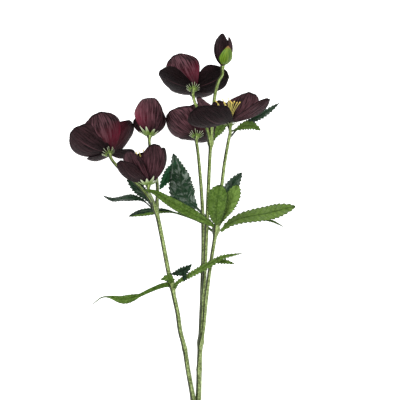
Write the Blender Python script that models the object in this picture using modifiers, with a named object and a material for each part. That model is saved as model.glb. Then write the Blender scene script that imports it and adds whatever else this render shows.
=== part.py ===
"""A cut spray of burgundy hellebore, lying on its side: six blooms, a bud, stems and leaves.

Every size and place below is in millimetres, measured from the cut end of the spray. X runs to
the right, Y up the spray and Z up from the surface that it lies on. The origin of the finished
object is the middle of the spray's outline on that surface.
"""

import math

import bmesh
import bpy
from mathutils import Matrix, Vector

MM = 0.001
SPRAY_MIDDLE = Vector((-13.3, 191.4, 0.0))
SEAT_GAP = 0.3

# Stems: the routes run from foot to top, and the radii follow them.
CUT_RADIUS = 2.9
CUT_STEM = [(0.0, 0.0, 2.5), (-0.2, 15.0, 3.7)]
LEFT_STEM = [
    (0.0, 0.0, 2.5),
    (-3.0, 18.0, 4.2),
    (-8.0, 46.4, 7.5),
    (-11.5, 68.7, 10.0),
    (-16.0, 86.6, 12.0),
    (-18.4, 104.0, 14.0),
    (-22.3, 122.3, 16.0),
    (-24.0, 133.0, 17.0),
    (-26.8, 142.0, 18.0),
    (-33.7, 178.0, 20.5),
    (-38.4, 201.0, 21.5),
    (-41.0, 211.0, 22.0),
]
RIGHT_STEM = [
    (0.0, 0.0, 2.5),
    (2.3, 18.0, 4.0),
    (3.2, 48.0, 7.0),
    (4.3, 74.0, 10.0),
    (6.5, 90.0, 12.0),
]
STEM_A = [
    (4.3, 72.0, 9.6),
    (4.6, 87.0, 10.8),
    (5.6, 113.4, 13.5),
    (6.4, 140.0, 16.0),
    (6.9, 158.0, 18.0),
    (7.1, 175.0, 20.0),
    (6.7, 204.0, 23.0),
    (5.3, 228.4, 26.5),
    (3.2, 253.0, 31.0),
    (1.7, 267.0, 34.0),
]
STEM_B = [
    (4.5, 73.0, 10.2),
    (5.4, 87.0, 12.2),
    (7.0, 113.4, 15.5),
    (8.3, 140.0, 18.6),
    (9.4, 158.0, 21.2),
    (10.0, 175.0, 24.0),
    (11.3, 202.5, 29.0),
    (12.3, 228.4, 35.0),
    (13.4, 253.0, 42.0),
    (14.2, 268.0, 46.5),
    (15.0, 276.0, 48.5),
    (16.0, 293.0, 51.0),
    (18.5, 320.0, 54.5),
    (22.0, 335.0, 55.0),
]
STEM_C = [
    (4.4, 73.0, 10.0),
    (7.4, 90.0, 13.5),
    (9.6, 113.4, 18.0),
    (12.6, 140.0, 24.5),
    (15.5, 160.0, 30.0),
    (18.6, 179.3, 36.0),
    (20.0, 189.0, 39.5),
    (23.0, 213.0, 48.5),
    (26.0, 236.2, 57.5),
    (28.0, 253.0, 64.5),
    (31.4, 273.0, 74.0),
]
PEDICEL_1 = [
    (-41.0, 210.0, 22.0),
    (-46.3, 218.7, 22.5),
    (-55.7, 230.7, 24.0),
    (-68.0, 242.0, 28.0),
    (-78.0, 251.0, 35.0),
]
PEDICEL_2 = [
    (-40.5, 209.0, 22.0),
    (-39.2, 216.0, 21.0),
    (-38.6, 226.0, 20.0),
    (-39.4, 239.0, 20.0),
    (-42.5, 256.0, 23.0),
    (-45.4, 268.0, 28.5),
]
PEDICEL_3 = [
    (-41.0, 209.0, 22.2),
    (-42.4, 215.0, 28.0),
    (-44.6, 221.0, 38.0),
]
PEDICEL_4 = [
    (14.6, 272.0, 47.6),
    (12.8, 281.0, 50.5),
    (9.5, 292.0, 52.0),
    (2.6, 306.0, 51.5),
    (-1.2, 315.0, 49.5),
]
STEMS = {
    "left_stem": (LEFT_STEM, (2.45, 2.25, 2.1), None),
    "right_stem": (RIGHT_STEM, (2.6, 2.6, 2.3), None),
    "stem_a": (STEM_A, (2.1, 1.8, 1.5), "bloom_5"),
    "stem_b": (STEM_B, (2.1, 1.8, 1.5), "bud"),
    "stem_c": (STEM_C, (2.0, 1.8, 1.5), "bloom_6"),
    "pedicel_1": (PEDICEL_1, (1.7, 1.5, 1.4), "bloom_1"),
    "pedicel_2": (PEDICEL_2, (1.7, 1.5, 1.4), "bloom_2"),
    "pedicel_3": (PEDICEL_3, (1.7, 1.5, 1.5), "bloom_3"),
    "pedicel_4": (PEDICEL_4, (1.7, 1.5, 1.4), "bloom_4"),
}
TUBE_STEP = 12.0
TUBE_SIDES_LEVEL = 1
WELD_DISTANCE = 0.0001
REACH_DIFFERENCE = 0.05
UNION_TRIES = 5

# Swellings of the stems: place, radius across the stem and radius along it.
STEM_NODE_LEAN = (0.1, 1.0, 0.15)
STEM_NODE_SIDES = 8
STEM_NODE_RINGS = 6
STEM_NODES = {
    "cut_fork": ((-0.3, 14.0, 3.7), 3.1, 6.0),
    "left_ring": ((-11.5, 68.7, 10.0), 2.8, 2.4),
    "right_ring": ((3.2, 48.0, 7.0), 3.0, 2.4),
    "right_fork": ((4.5, 75.0, 10.4), 3.3, 5.0),
    "left_whorl": ((-24.0, 133.0, 17.0), 3.4, 5.0),
    "left_fork": ((-41.0, 211.0, 22.0), 3.0, 4.5),
    "right_whorl": ((20.0, 188.5, 39.3), 4.0, 5.5),
    "bract_fork": ((15.0, 275.0, 48.3), 2.9, 4.0),
}

# Blooms: the foot of the petals, the way the bloom faces, and its petals. A petal is its turn
# round the bloom's axis, its slope from that axis at its foot and at its tip, its length, its half
# width, the radius that it curls to across its width, and how far it is twisted. A turn of 0 is
# to the right, and -90 is towards a viewer above the spray. Stamens are their count, length and
# spread, and a frill is its count, length, half width and slope from the bloom's axis.
BLOOMS = {
    "bloom_1": {
        "foot": (-87.6, 266.0, 35.2),
        "faces": (-0.36, 0.76, -0.50),
        "petals": [
            (-150, 86, 16, 44, 25, 34, -8),
            (-92, 88, 20, 45, 23.5, 24, 0),
            (-14, 88, 30, 40, 18, 26, 0),
            (40, 90, 84, 37, 7, 26, 0),
            (108, 86, 50, 27, 17, 26, 0),
        ],
        "stamens": (8, 14.0, 26),
        "frill": (9, 8.6, 1.1, 76),
    },
    "bloom_2": {
        "foot": (-46.4, 285.0, 33.0),
        "faces": (0.02, 0.90, -0.34),
        "petals": [
            (-96, 94, -46, 45, 18, 16, 0),
            (-30, 86, -38, 31, 13, 16, 0),
            (50, 94, -36, 32, 14, 16, 0),
            (122, 94, -36, 32, 14, 16, 0),
            (198, 94, -34, 21, 9.5, 16, 0),
        ],
        "stamens": (8, 9.0, 16),
        "frill": (9, 14.0, 1.7, 74),
    },
    "bloom_3": {
        "foot": (-47.6, 236.0, 51.0),
        "faces": (-0.05, 0.97, -0.18),
        "petals": [
            (-70, 74, -6, 44, 14, 17, 0),
            (-18, 68, -14, 40, 14, 17, 0),
            (100, 68, -24, 40, 16, 19, 0),
            (-132, 76, 8, 41, 14.5, 24, 0),
            (-147, 88, 28, 38, 12.5, 34, -22),
        ],
        "stamens": (9, 27.0, 15),
        "frill": (9, 13.0, 2.1, 74),
    },
    "bloom_4": {
        "foot": (-2.8, 330.0, 40.0),
        "faces": (0.02, 0.74, -0.60),
        "petals": [
            (-168, 94, 46, 37, 19, 34, 0),
            (-126, 88, 28, 38.5, 22, 30, 0),
            (-19, 94, 52, 37, 18.5, 34, 0),
            (50, 86, 40, 36, 18, 26, 0),
            (126, 86, 40, 34, 19, 26, 0),
        ],
        "stamens": (8, 14.0, 26),
        "frill": (9, 8.6, 1.1, 76),
    },
    "bloom_5": {
        "foot": (0.3, 283.5, 31.4),
        "faces": (-0.02, 0.76, -0.56),
        "petals": [
            (-154, 94, 20, 36.5, 24, 34, -12),
            (-88, 88, 12, 33, 17, 24, 0),
            (-18, 88, 30, 38, 17, 26, 0),
            (44, 88, 40, 32, 17, 26, 0),
            (112, 86, 44, 25, 16, 26, 0),
        ],
        "stamens": (8, 12.0, 22),
        "frill": (9, 8.6, 1.1, 76),
    },
    "bloom_6": {
        "foot": (32.9, 294.5, 82.0),
        "faces": (-0.08, 0.97, -0.1),
        "petals": [
            (-127, 108, 44, 53.5, 21.5, 60, -29),
            (-30, 88, 50, 49, 13, 50, 0),
            (49, 66, 26, 46, 18, 44, -24),
            (118, 64, 4, 31, 13, 26, 0),
            (157, 74, 16, 43, 15, 30, 0),
        ],
        "stamens": (10, 20.0, 30),
        "frill": (9, 6.6, 1.0, 80),
    },
}
PETAL_THICKNESS = 0.7
PETAL_ROWS = 6
PETAL_COLUMNS = 4
PETAL_FOOT_OUT = 1.4
PETAL_FOOT_WIDTH = 0.3
PETAL_WAVES = 6.0
PETAL_TWISTS_AT = 0.25
OPEN_PETAL = {
    "lap": 7.0,
    "wave": 0.9,
    "widest": 0.62,
    "tip_width": 0.6,
    "tip_round": 0.11,
    "stand_off": 0.0,
}
HEART_RADIUS = 3.6
HEART_THICKNESS = 1.6
HEART_SIDES = 10
CUP_RADIUS = 3.1
CUP_DEPTH = 8.0
CUP_FOOT_RADIUS = 1.4
CUP_SIDES = 10
PEDICEL_STRAIGHT = 10.0
PEDICEL_SUNK = 5.0
FRILL_DROP = 2.2
FRILL_TIP = 0.2
FRILL_UNEVEN = 0.16
FRILL_STEP = 3.7
FRILL_FOOT_SHARE = 0.5
FILAMENT_RADIUS = 0.42
ANTHER_SIZE = (1.1, 1.1, 2.2)
STAMEN_FOOT_RADIUS = 2.2
STAMEN_FOOT_DEPTH = 1.4
STAMEN_UNEVEN = 0.16
STAMEN_STEP = 2.3
GOLDEN_ANGLE = math.pi * (3 - math.sqrt(5))

# The closed bud at the top of the spray.
BUD = {
    "foot": (26.4, 352.0, 53.6),
    "faces": (0.05, 0.99, -0.06),
    "petals": [
        (-112, 50, -36, 34, 9.0, 9, 0),
        (-14, 50, -36, 31, 8.0, 9, 0),
        (78, 50, -36, 30, 8.0, 9, 0),
        (160, 50, -36, 31, 8.0, 9, 0),
    ],
}
BUD_HEART_RADIUS = 2.4
BUD_PETAL = {
    "lap": 9.0,
    "wave": 0.0,
    "widest": 0.6,
    "tip_width": 0.5,
    "tip_round": 0.12,
    "stand_off": 0.0,
}
BUD_SEPAL = (-68, 60, -12, 21, 7.4, 10, 0)
SEPAL_STYLE = {
    "lap": 0.0,
    "wave": 0.0,
    "widest": 0.34,
    "tip_width": 0.06,
    "tip_round": 0.0,
    "stand_off": 2.4,
}
BUD_CUP_RADIUS = 2.3

# Leaves: the route from a seat's gap off the stem to the tip, the half width, the share of the
# length that is stalk and the share at which the blade is widest, the roll about the midrib at
# foot and tip, and the depth of the fold. A lobe is one more blade of the same leaf, with its own
# route and half width. Some leaves have a half width of their own at the foot, and tapers of their
# own towards the foot and the tip, where a higher number draws the end out.
LEAVES = {
    "leaf_whorl_left": {
        "route": [
            (17.4, 192.0, 41.5),
            (9.0, 197.5, 41.0),
            (-3.0, 204.0, 40.5),
            (-16.0, 210.8, 43.0),
            (-29.5, 218.5, 48.0),
            (-41.0, 225.5, 53.5),
            (-52.6, 228.4, 57.0),
        ],
        "half_width": 5.4,
        "stalk": 0.0,
        "widest": 0.45,
        "roll": (0, 12),
        "fold": 0.22,
        "foot": 1.6,
        "ends": (0.6, 0.9),
    },
    "leaf_whorl_up": {
        "route": [
            (20.5, 193.9, 43.9),
            (20.2, 204.0, 52.5),
            (21.2, 218.0, 59.0),
            (23.8, 233.0, 63.5),
        ],
        "half_width": 10.0,
        "stalk": 0.04,
        "widest": 0.72,
        "roll": (0, 0),
        "fold": 0.16,
        "ends": (0.6, 0.7),
        "foot": 1.6,
    },
    "leaf_whorl_up_right": {
        "route": [
            (23.8, 193.2, 41.4),
            (28.0, 203.5, 48.6),
            (34.0, 215.5, 54.4),
            (41.6, 233.0, 59.4),
        ],
        "half_width": 7.2,
        "stalk": 0.04,
        "widest": 0.7,
        "roll": (4, 4),
        "fold": 0.20,
        "ends": (1.0, 0.7),
    },
    "leaf_whorl_up_dark": {
        "route": [
            (21.8, 192.7, 37.0),
            (27.0, 206.0, 33.5),
            (32.5, 222.0, 33.0),
            (38.5, 235.0, 32.0),
            (45.7, 245.4, 30.0),
        ],
        "half_width": 7.8,
        "stalk": 0.1,
        "widest": 0.62,
        "roll": (-14, -14),
        "fold": 0.18,
    },
    "leaf_whorl_right": {
        "route": [
            (25.3, 187.4, 39.1),
            (34.0, 195.0, 35.0),
            (45.3, 199.8, 30.0),
            (58.6, 202.6, 24.0),
            (72.7, 205.0, 16.5),
            (86.0, 208.4, 7.4),
            (100.0, 211.6, 0.45),
        ],
        "half_width": 7.2,
        "stalk": 0.0,
        "widest": 0.7,
        "roll": (0, 0),
        "fold": 0.16,
        "lobe": ([(62.0, 200.8, 22.7), (70.0, 198.6, 17.6), (78.0, 196.2, 12.2), (87.4, 191.4, 6.0)], 1.3),
        "foot": 1.6,
        "ends": (0.6, 0.8),
    },
    "leaf_whorl_dark": {
        "route": [
            (19.6, 189.4, 35.0),
            (17.0, 193.0, 23.0),
            (8.0, 203.0, 15.0),
            (-1.0, 211.6, 12.5),
            (-10.0, 219.0, 12.0),
            (-14.4, 229.0, 12.5),
            (-16.0, 240.0, 13.0),
            (-19.2, 251.0, 12.0),
            (-22.8, 264.8, 9.0),
        ],
        "half_width": 12.6,
        "stalk": 0.36,
        "widest": 0.58,
        "roll": (-8, -8),
        "fold": 0.20,
        "lobe": ([(-19.0, 256.0, 11.6), (-24.5, 248.0, 10.0), (-31.0, 238.0, 8.5), (-36.6, 228.6, 6)], 5.6),
        "foot": 1.6,
    },
    "leaf_whorl_far_left": {
        "route": [
            (19.0, 185.6, 35.1),
            (15.0, 188.0, 19.0),
            (4.0, 196.0, 11.0),
            (-14.0, 203.0, 7.0),
            (-30.0, 206.8, 6.0),
            (-45.0, 206.2, 6.0),
            (-58.0, 204.4, 5.0),
            (-67.7, 201.5, 3.0),
        ],
        "half_width": 3.9,
        "stalk": 0.5,
        "widest": 0.84,
        "roll": (24, 24),
        "fold": 0.18,
        "foot": 1.5,
    },
    "leaf_upper_left": {
        "route": [
            (-44.0, 213.0, 19.8),
            (-51.0, 222.0, 15.5),
            (-58.0, 230.0, 15.0),
            (-65.0, 238.0, 15.5),
            (-70.0, 246.0, 15.0),
        ],
        "half_width": 6.0,
        "stalk": 0.04,
        "widest": 0.55,
        "roll": (0, 0),
        "fold": 0.16,
        "foot": 1.8,
    },
    "leaf_upper_far_left": {
        "route": [
            (-44.9, 210.4, 22.2),
            (-52.5, 217.0, 23.0),
            (-61.0, 219.4, 24.0),
            (-70.3, 219.4, 23.0),
            (-83.4, 218.0, 21.0),
            (-93.4, 222.4, 20.0),
        ],
        "half_width": 6.4,
        "stalk": 0.1,
        "widest": 0.5,
        "roll": (58, 66),
        "fold": 0.14,
    },
    "leaf_lower_left": {
        "route": [
            (-27.7, 133.2, 17.4),
            (-34.0, 132.2, 18.6),
            (-46.0, 127.5, 20.0),
            (-59.0, 121.5, 19.0),
            (-73.0, 118.0, 16.5),
            (-86.0, 120.5, 13.0),
            (-95.0, 120.0, 10.5),
            (-103.6, 113.3, 8.0),
        ],
        "half_width": 4.4,
        "stalk": 0.3,
        "widest": 0.55,
        "roll": (10, 10),
        "fold": 0.18,
        "foot": 2.7,
        "ends": (1.3, 4.0),
    },
    "leaf_lower_right": {
        "route": [
            (-21.4, 130.4, 19.7),
            (-18.6, 135.4, 24.4),
            (-12.1, 139.6, 26.5),
            (-0.5, 146.2, 29.5),
            (15.3, 155.0, 34.0),
            (27.0, 161.2, 35.0),
            (45.8, 164.8, 33.0),
        ],
        "half_width": 3.3,
        "stalk": 0.0,
        "widest": 0.5,
        "roll": (14, 14),
        "fold": 0.22,
        "lobe": ([(18.0, 156.6, 33.8), (27.0, 157.0, 31.0), (38.4, 154.3, 27.0)], 2.6),
        "foot": 2.0,
        "ends": (0.6, 0.9),
    },
    "leaf_lower_small_dark": {
        "route": [
            (-25.6, 143.9, 20.6),
            (-20.5, 144.6, 24.6),
            (-14.0, 146.8, 29.0),
            (-8.6, 149.8, 30.8),
            (-4.3, 154.0, 31.2),
        ],
        "half_width": 4.0,
        "stalk": 0.0,
        "widest": 0.62,
        "roll": (0, 0),
        "fold": 0.2,
        "ends": (1.3, 1.0),
        "lobe": (
            [
                (-13.2, 147.6, 29.8),
                (-11.9, 142.8, 30.2),
                (-11.5, 136.6, 30.0),
            ],
            2.5,
        ),
    },
    "leaf_lower_small_light": {
        "route": [
            (-24.9, 135.8, 20.5),
            (-26.4, 139.4, 21.9),
            (-29.0, 140.0, 21.6),
            (-35.5, 138.2, 19.5),
        ],
        "half_width": 4.2,
        "stalk": 0.0,
        "widest": 0.3,
        "roll": (0, 0),
        "fold": 0.12,
        "foot": 2.0,
        "ends": (0.5, 1.2),
    },
    "bract_left": {
        "route": [
            (18.2, 278.0, 49.0),
            (20.6, 283.0, 51.0),
            (25.0, 290.0, 55.0),
            (31.0, 296.0, 58.0),
        ],
        "half_width": 4.4,
        "stalk": 0.04,
        "widest": 0.62,
        "roll": (0, 0),
        "fold": 0.2,
    },
    "bract_right": {
        "route": [
            (35.9, 286.0, 81.6),
            (42.0, 288.6, 78.5),
            (48.0, 291.2, 76.5),
            (56.0, 291.2, 75.0),
            (63.7, 286.8, 72.0),
        ],
        "half_width": 4.2,
        "stalk": 0.04,
        "widest": 0.55,
        "roll": (0, 0),
        "fold": 0.2,
    },
    "bract_far_right": {
        "route": [
            (34.7, 281.0, 77.4),
            (44.0, 291.0, 68.0),
            (56.0, 297.0, 66.0),
            (68.0, 303.6, 68.0),
            (82.0, 313.6, 70.0),
        ],
        "half_width": 3.3,
        "stalk": 0.1,
        "widest": 0.66,
        "roll": (0, 0),
        "fold": 0.2,
    },
}
LEAF_THICKNESS = 0.7
LEAF_ROW_LENGTH = 4.8
LEAF_COLUMNS = 4
LEAF_FOOT_WIDTH = 0.9
LEAF_ENDS = (1.3, 0.9)
LEAF_TIP_WIDTH = 0.35
LEAF_TOOTH = 0.08
LOBE_WIDEST = 0.35
LEAF_WAVE = 0.06
LEAF_WAVES = 17.0

# Finish of each slot: its colour and its roughness. Edges sharper than the angle stay sharp.
SHARP_ANGLE = 50
COLOURS = {
    "stem": ((0.27, 0.37, 0.12), 0.5),
    "petal": ((0.045, 0.012, 0.018), 0.55),
    "stamen": ((0.72, 0.56, 0.16), 0.6),
    "leaf_light": ((0.14, 0.25, 0.05), 0.45),
    "leaf_dark": ((0.022, 0.06, 0.025), 0.32),
    "bud_sepal": ((0.25, 0.36, 0.06), 0.5),
}
DARK_LEAVES = {
    "leaf_whorl_up_dark",
    "leaf_whorl_dark",
    "leaf_whorl_far_left",
    "leaf_upper_left",
    "leaf_upper_far_left",
    "leaf_lower_small_dark",
    "bract_far_right",
}


# Scene and materials


def clear_scene():
    for obj in list(bpy.data.objects):
        bpy.data.objects.remove(obj, do_unlink=True)


def new_collection(name):
    collection = bpy.data.collections.new(name)
    bpy.context.scene.collection.children.link(collection)
    return collection


def material(name):
    """A material of its own for one object, in one of the spray's finishes."""
    colour, roughness = COLOURS[name]
    made = bpy.data.materials.new(name)
    made.use_nodes = True
    shader = made.node_tree.nodes["Principled BSDF"]
    shader.inputs["Base Color"].default_value = (*colour, 1.0)
    shader.inputs["Roughness"].default_value = roughness
    shader.inputs["Metallic"].default_value = 0.0
    return made


# Placing and joining


def placed(point):
    """A point in millimetres from the cut end, as metres from the object's origin."""
    return (Vector(point) - SPRAY_MIDDLE) * MM


def facing(foot, direction):
    """The frame at a foot whose Z runs along the direction, and whose X stays to the right."""
    axis = Vector(direction).normalized()
    right = Vector((1.0, 0.0, 0.0))
    right = (right - axis * right.dot(axis)).normalized()
    frame = Matrix((right, axis.cross(right), axis)).transposed().to_4x4()
    frame.translation = Vector(foot)
    return frame


def between(start, end):
    """The frame halfway between two points whose Z runs from one to the other."""
    step = Vector(end) - Vector(start)
    frame = step.to_track_quat("Z", "X").to_matrix().to_4x4()
    frame.translation = (Vector(start) + Vector(end)) / 2
    return frame, step.length


def object_from(bm, name, collection):
    """An object from a mesh that was modelled in millimetres from the cut end."""
    for vert in bm.verts:
        vert.co = placed(vert.co)
    mesh = bpy.data.meshes.new(name)
    bm.to_mesh(mesh)
    bm.free()
    obj = bpy.data.objects.new(name, mesh)
    collection.objects.link(obj)
    return obj


def applied(obj):
    """Gives the object its evaluated mesh, and takes its modifiers away."""
    bpy.context.view_layer.update()
    graph = bpy.context.evaluated_depsgraph_get()
    mesh = bpy.data.meshes.new_from_object(obj.evaluated_get(graph))
    obj.modifiers.clear()
    obj.data = mesh
    return obj


def thicken(obj, thickness):
    wall = obj.modifiers.new("Thickness", "SOLIDIFY")
    wall.thickness = thickness * MM
    wall.offset = 0.0
    wall.use_even_offset = False
    return applied(obj)


def keep_main_body(mesh):
    """Drops the loose scraps that a union leaves, and fills any hollow that it sealed."""
    bm = bmesh.new()
    bm.from_mesh(mesh)
    rest = set(bm.verts)
    bodies = []
    while rest:
        reached = [rest.pop()]
        body = set(reached)
        while reached:
            vert = reached.pop()
            near = {edge.other_vert(vert) for edge in vert.link_edges} & rest
            rest -= near
            body |= near
            reached.extend(near)
        bodies.append(body)
    main = max(bodies, key=len)
    bmesh.ops.delete(bm, geom=[vert for vert in bm.verts if vert not in main], context="VERTS")
    bm.to_mesh(mesh)
    bm.free()


def reach(objects):
    """How far the objects go along each axis, both ways."""
    corners = [obj.matrix_world @ vert.co for obj in objects for vert in obj.data.vertices]
    lowest = [min(corner[axis] for corner in corners) for axis in range(3)]
    highest = [max(corner[axis] for corner in corners) for axis in range(3)]
    return lowest + highest


def united(body, others):
    """Joins the others to the body, and says whether the whole still goes as far as its pieces."""
    before = reach([body, *others.objects])
    union = body.modifiers.new("Union", "BOOLEAN")
    union.operation = "UNION"
    union.operand_type = "COLLECTION"
    union.collection = others
    union.solver = "EXACT"
    applied(body)
    keep_main_body(body.data)
    return all(abs(old - new) < REACH_DIFFERENCE * MM for old, new in zip(before, reach([body])))


def fused(name, pieces, collection, finish):
    """One object from pieces that reach into each other. A union that loses a piece is made again."""
    body = pieces[0]
    if len(pieces) > 1:
        others = bpy.data.collections.new(name + "_repeats")
        bpy.context.scene.collection.children.link(others)
        for piece in pieces[1:]:
            others.objects.link(piece)
        start = body.data.copy()
        tries = 1
        while not united(body, others):
            if tries == UNION_TRIES:
                raise RuntimeError(name + ": the union loses a piece")
            body.data = start.copy()
            tries += 1
        for piece in pieces[1:]:
            bpy.data.objects.remove(piece, do_unlink=True)
        bpy.data.collections.remove(others)
    body.name = name
    body.data.name = name
    body.data.materials.clear()
    body.data.materials.append(material(finish))
    body.data.shade_smooth()
    body.data.set_sharp_from_angle(angle=math.radians(SHARP_ANGLE))
    for old in list(body.users_collection):
        old.objects.unlink(body)
    collection.objects.link(body)
    return body


# Curves


def along(points, share):
    """The place at this share of the way along a smooth curve through the points."""
    spots = [Vector(point) for point in points]
    lengths = [(end - start).length for start, end in zip(spots, spots[1:])]
    rest = share * sum(lengths)
    index = 0
    while index < len(lengths) - 1 and rest > lengths[index]:
        rest -= lengths[index]
        index += 1
    step = min(rest / lengths[index], 1.0)
    before = spots[max(index - 1, 0)]
    start = spots[index]
    end = spots[index + 1]
    after = spots[min(index + 2, len(spots) - 1)]
    leaving = (end - before) / 2
    arriving = (after - start) / 2
    return (
        start * (2 * step**3 - 3 * step**2 + 1)
        + leaving * (step**3 - 2 * step**2 + step)
        + end * (3 * step**2 - 2 * step**3)
        + arriving * (step**3 - step**2)
    )


def between_values(values, share):
    """The value at this share of the way through an even list of values."""
    place = share * (len(values) - 1)
    index = min(int(place), len(values) - 2)
    return values[index] + (values[index + 1] - values[index]) * (place - index)


def route_length(points):
    return sum((Vector(end) - Vector(start)).length for start, end in zip(points, points[1:]))


# Stems


def tube(name, points, radii, collection):
    """A round stem through the points, as a closed mesh."""
    curve = bpy.data.curves.new(name, "CURVE")
    curve.dimensions = "3D"
    curve.bevel_depth = MM
    curve.bevel_resolution = TUBE_SIDES_LEVEL
    curve.use_fill_caps = True
    spline = curve.splines.new("POLY")
    count = max(4, round(route_length(points) / TUBE_STEP))
    spline.points.add(count - 1)
    for index, spot in enumerate(spline.points):
        share = index / (count - 1)
        spot.co = (*placed(along(points, share)), 1.0)
        spot.radius = between_values(radii, share)
    guide = bpy.data.objects.new(name, curve)
    collection.objects.link(guide)
    bpy.context.view_layer.update()
    graph = bpy.context.evaluated_depsgraph_get()
    mesh = bpy.data.meshes.new_from_object(guide.evaluated_get(graph))
    bm = bmesh.new()
    bm.from_mesh(mesh)
    bmesh.ops.remove_doubles(bm, verts=bm.verts, dist=WELD_DISTANCE * MM)
    bm.to_mesh(mesh)
    bm.free()
    stem = bpy.data.objects.new(name, mesh)
    stem.matrix_world = guide.matrix_world
    collection.objects.link(stem)
    bpy.data.objects.remove(guide, do_unlink=True)
    return stem


def swelling(name, place, across, length, direction, collection):
    """The rounded swelling of a stem where it forks or carries leaves."""
    bm = bmesh.new()
    frame = facing(place, direction) @ Matrix.Diagonal((across, across, length, 1.0))
    bmesh.ops.create_uvsphere(
        bm,
        u_segments=STEM_NODE_SIDES,
        v_segments=STEM_NODE_RINGS,
        radius=1.0,
        matrix=frame,
    )
    return object_from(bm, name, collection)


def cup(name, bloom, radius, collection):
    """The green cup below a bloom, a seat's gap below its petals."""
    bm = bmesh.new()
    top = -HEART_THICKNESS / 2 - SEAT_GAP
    frame = facing(bloom["foot"], bloom["faces"]) @ Matrix.Translation((0, 0, top - CUP_DEPTH / 2))
    bmesh.ops.create_cone(
        bm,
        cap_ends=True,
        segments=CUP_SIDES,
        radius1=CUP_FOOT_RADIUS,
        radius2=radius,
        depth=CUP_DEPTH,
        matrix=frame,
    )
    return object_from(bm, name, collection)


def frill(name, bloom, collection):
    """The pointed green leaflets that stand out round a bloom's cup, behind its petals."""
    pieces = []
    frame = facing(bloom["foot"], bloom["faces"])
    count, usual_length, half_width, lean = bloom["frill"]
    for index in range(count):
        turn = 2 * math.pi * (index + 0.5) / count
        length = usual_length * (1.0 + FRILL_UNEVEN * math.sin(FRILL_STEP * index))
        out = Vector((math.cos(turn), math.sin(turn), 0.0))
        foot = out * (CUP_RADIUS * FRILL_FOOT_SHARE)
        foot.z = -HEART_THICKNESS / 2 - SEAT_GAP - FRILL_DROP
        slope = math.radians(lean)
        tip = foot + (out * math.sin(slope) + Vector((0, 0, math.cos(slope)))) * length
        centre, depth = between(foot, tip)
        bm = bmesh.new()
        bmesh.ops.create_cone(
            bm,
            cap_ends=True,
            segments=3,
            radius1=half_width,
            radius2=FRILL_TIP,
            depth=depth,
            matrix=frame @ centre,
        )
        pieces.append(object_from(bm, f"{name}_{index}", collection))
    return pieces


def into_cup(carried):
    """The last two points of a stem that ends in a bloom's cup, along the bloom's own axis."""
    if carried is None:
        return []
    bloom = BUD if carried == "bud" else BLOOMS[carried]
    frame = facing(bloom["foot"], bloom["faces"])
    return [frame @ Vector((0, 0, -back)) for back in (PEDICEL_STRAIGHT, PEDICEL_SUNK)]


def stem_system(work, parts):
    """Both main stems, their branches, the pedicels, cups and frills, grown as one piece."""
    pieces = []
    pieces.append(tube("cut_stem", CUT_STEM, (CUT_RADIUS, CUT_RADIUS), work))
    for name, (points, radii, carried) in STEMS.items():
        pieces.append(tube(name, points + into_cup(carried), radii, work))
    for name, (place, across, length) in STEM_NODES.items():
        pieces.append(swelling(name, place, across, length, STEM_NODE_LEAN, work))
    for name, bloom in BLOOMS.items():
        pieces.append(cup(name + "_cup", bloom, CUP_RADIUS, work))
        pieces.extend(frill(name + "_frill", bloom, work))
    pieces.append(cup("bud_cup", BUD, BUD_CUP_RADIUS, work))
    return fused("stem_system", pieces, parts, "stem")


# Blooms


def petal_width(share, style):
    """A petal's half width at this share of its length, as a share of its widest."""
    widest = style["widest"]
    if share < widest:
        return PETAL_FOOT_WIDTH + (1 - PETAL_FOOT_WIDTH) * math.sin(math.pi / 2 * share / widest)
    return 1 - (1 - style["tip_width"]) * ((share - widest) / (1 - widest)) ** 2


def petal_point(petal, style, side, share):
    """A petal's point in its bloom's frame. Side runs from edge to edge and share to the tip."""
    turn, slope_foot, slope_tip, length, half_width, curl, twist = petal
    reach = share * (1 - style["tip_round"] * side**2 * share**2)
    start = math.radians(slope_foot)
    end = start + math.radians(slope_tip - slope_foot) * reach
    bend = math.radians(slope_tip - slope_foot)
    out = PETAL_FOOT_OUT + style["stand_off"]
    out += length * (math.cos(start) - math.cos(end)) / bend
    up = length * (math.sin(end) - math.sin(start)) / bend
    inward = Vector((-math.cos(end), 0.0, math.sin(end)))
    angle = half_width * petal_width(share, style) * side / curl
    across = curl * math.sin(angle)
    lift = curl * (1 - math.cos(angle))
    lift -= across * math.sin(math.radians(style["lap"] + twist * share**PETAL_TWISTS_AT))
    lift += style["wave"] * math.sin(PETAL_WAVES * share + turn) * side**2 * share
    point = Vector((out, across, up)) + inward * lift
    return Matrix.Rotation(math.radians(turn), 3, "Z") @ point


def petal_blade(name, frame, petal, style, collection):
    """One petal, thickened, with both faces split into the same triangles."""
    bm = bmesh.new()
    bmesh.ops.create_grid(bm, x_segments=PETAL_COLUMNS, y_segments=PETAL_ROWS, size=1.0)
    for vert in bm.verts:
        share = (vert.co.y + 1) / 2
        vert.co = frame @ petal_point(petal, style, vert.co.x, share)
    bmesh.ops.triangulate(bm, faces=bm.faces)
    return thicken(object_from(bm, name, collection), PETAL_THICKNESS)


def heart(name, frame, radius, thickness, collection):
    """The disc in which the petals of a bloom meet."""
    bm = bmesh.new()
    bmesh.ops.create_cone(
        bm,
        cap_ends=True,
        segments=HEART_SIDES,
        radius1=radius,
        radius2=radius,
        depth=thickness,
        matrix=frame,
    )
    return object_from(bm, name, collection)


def bloom_petals(name, bloom, work, parts):
    frame = facing(bloom["foot"], bloom["faces"])
    pieces = [heart(name + "_heart", frame, HEART_RADIUS, HEART_THICKNESS, work)]
    for index, petal in enumerate(bloom["petals"]):
        pieces.append(petal_blade(f"{name}_petal_{index}", frame, petal, OPEN_PETAL, work))
    return fused(name + "_petals", pieces, parts, "petal")


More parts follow.
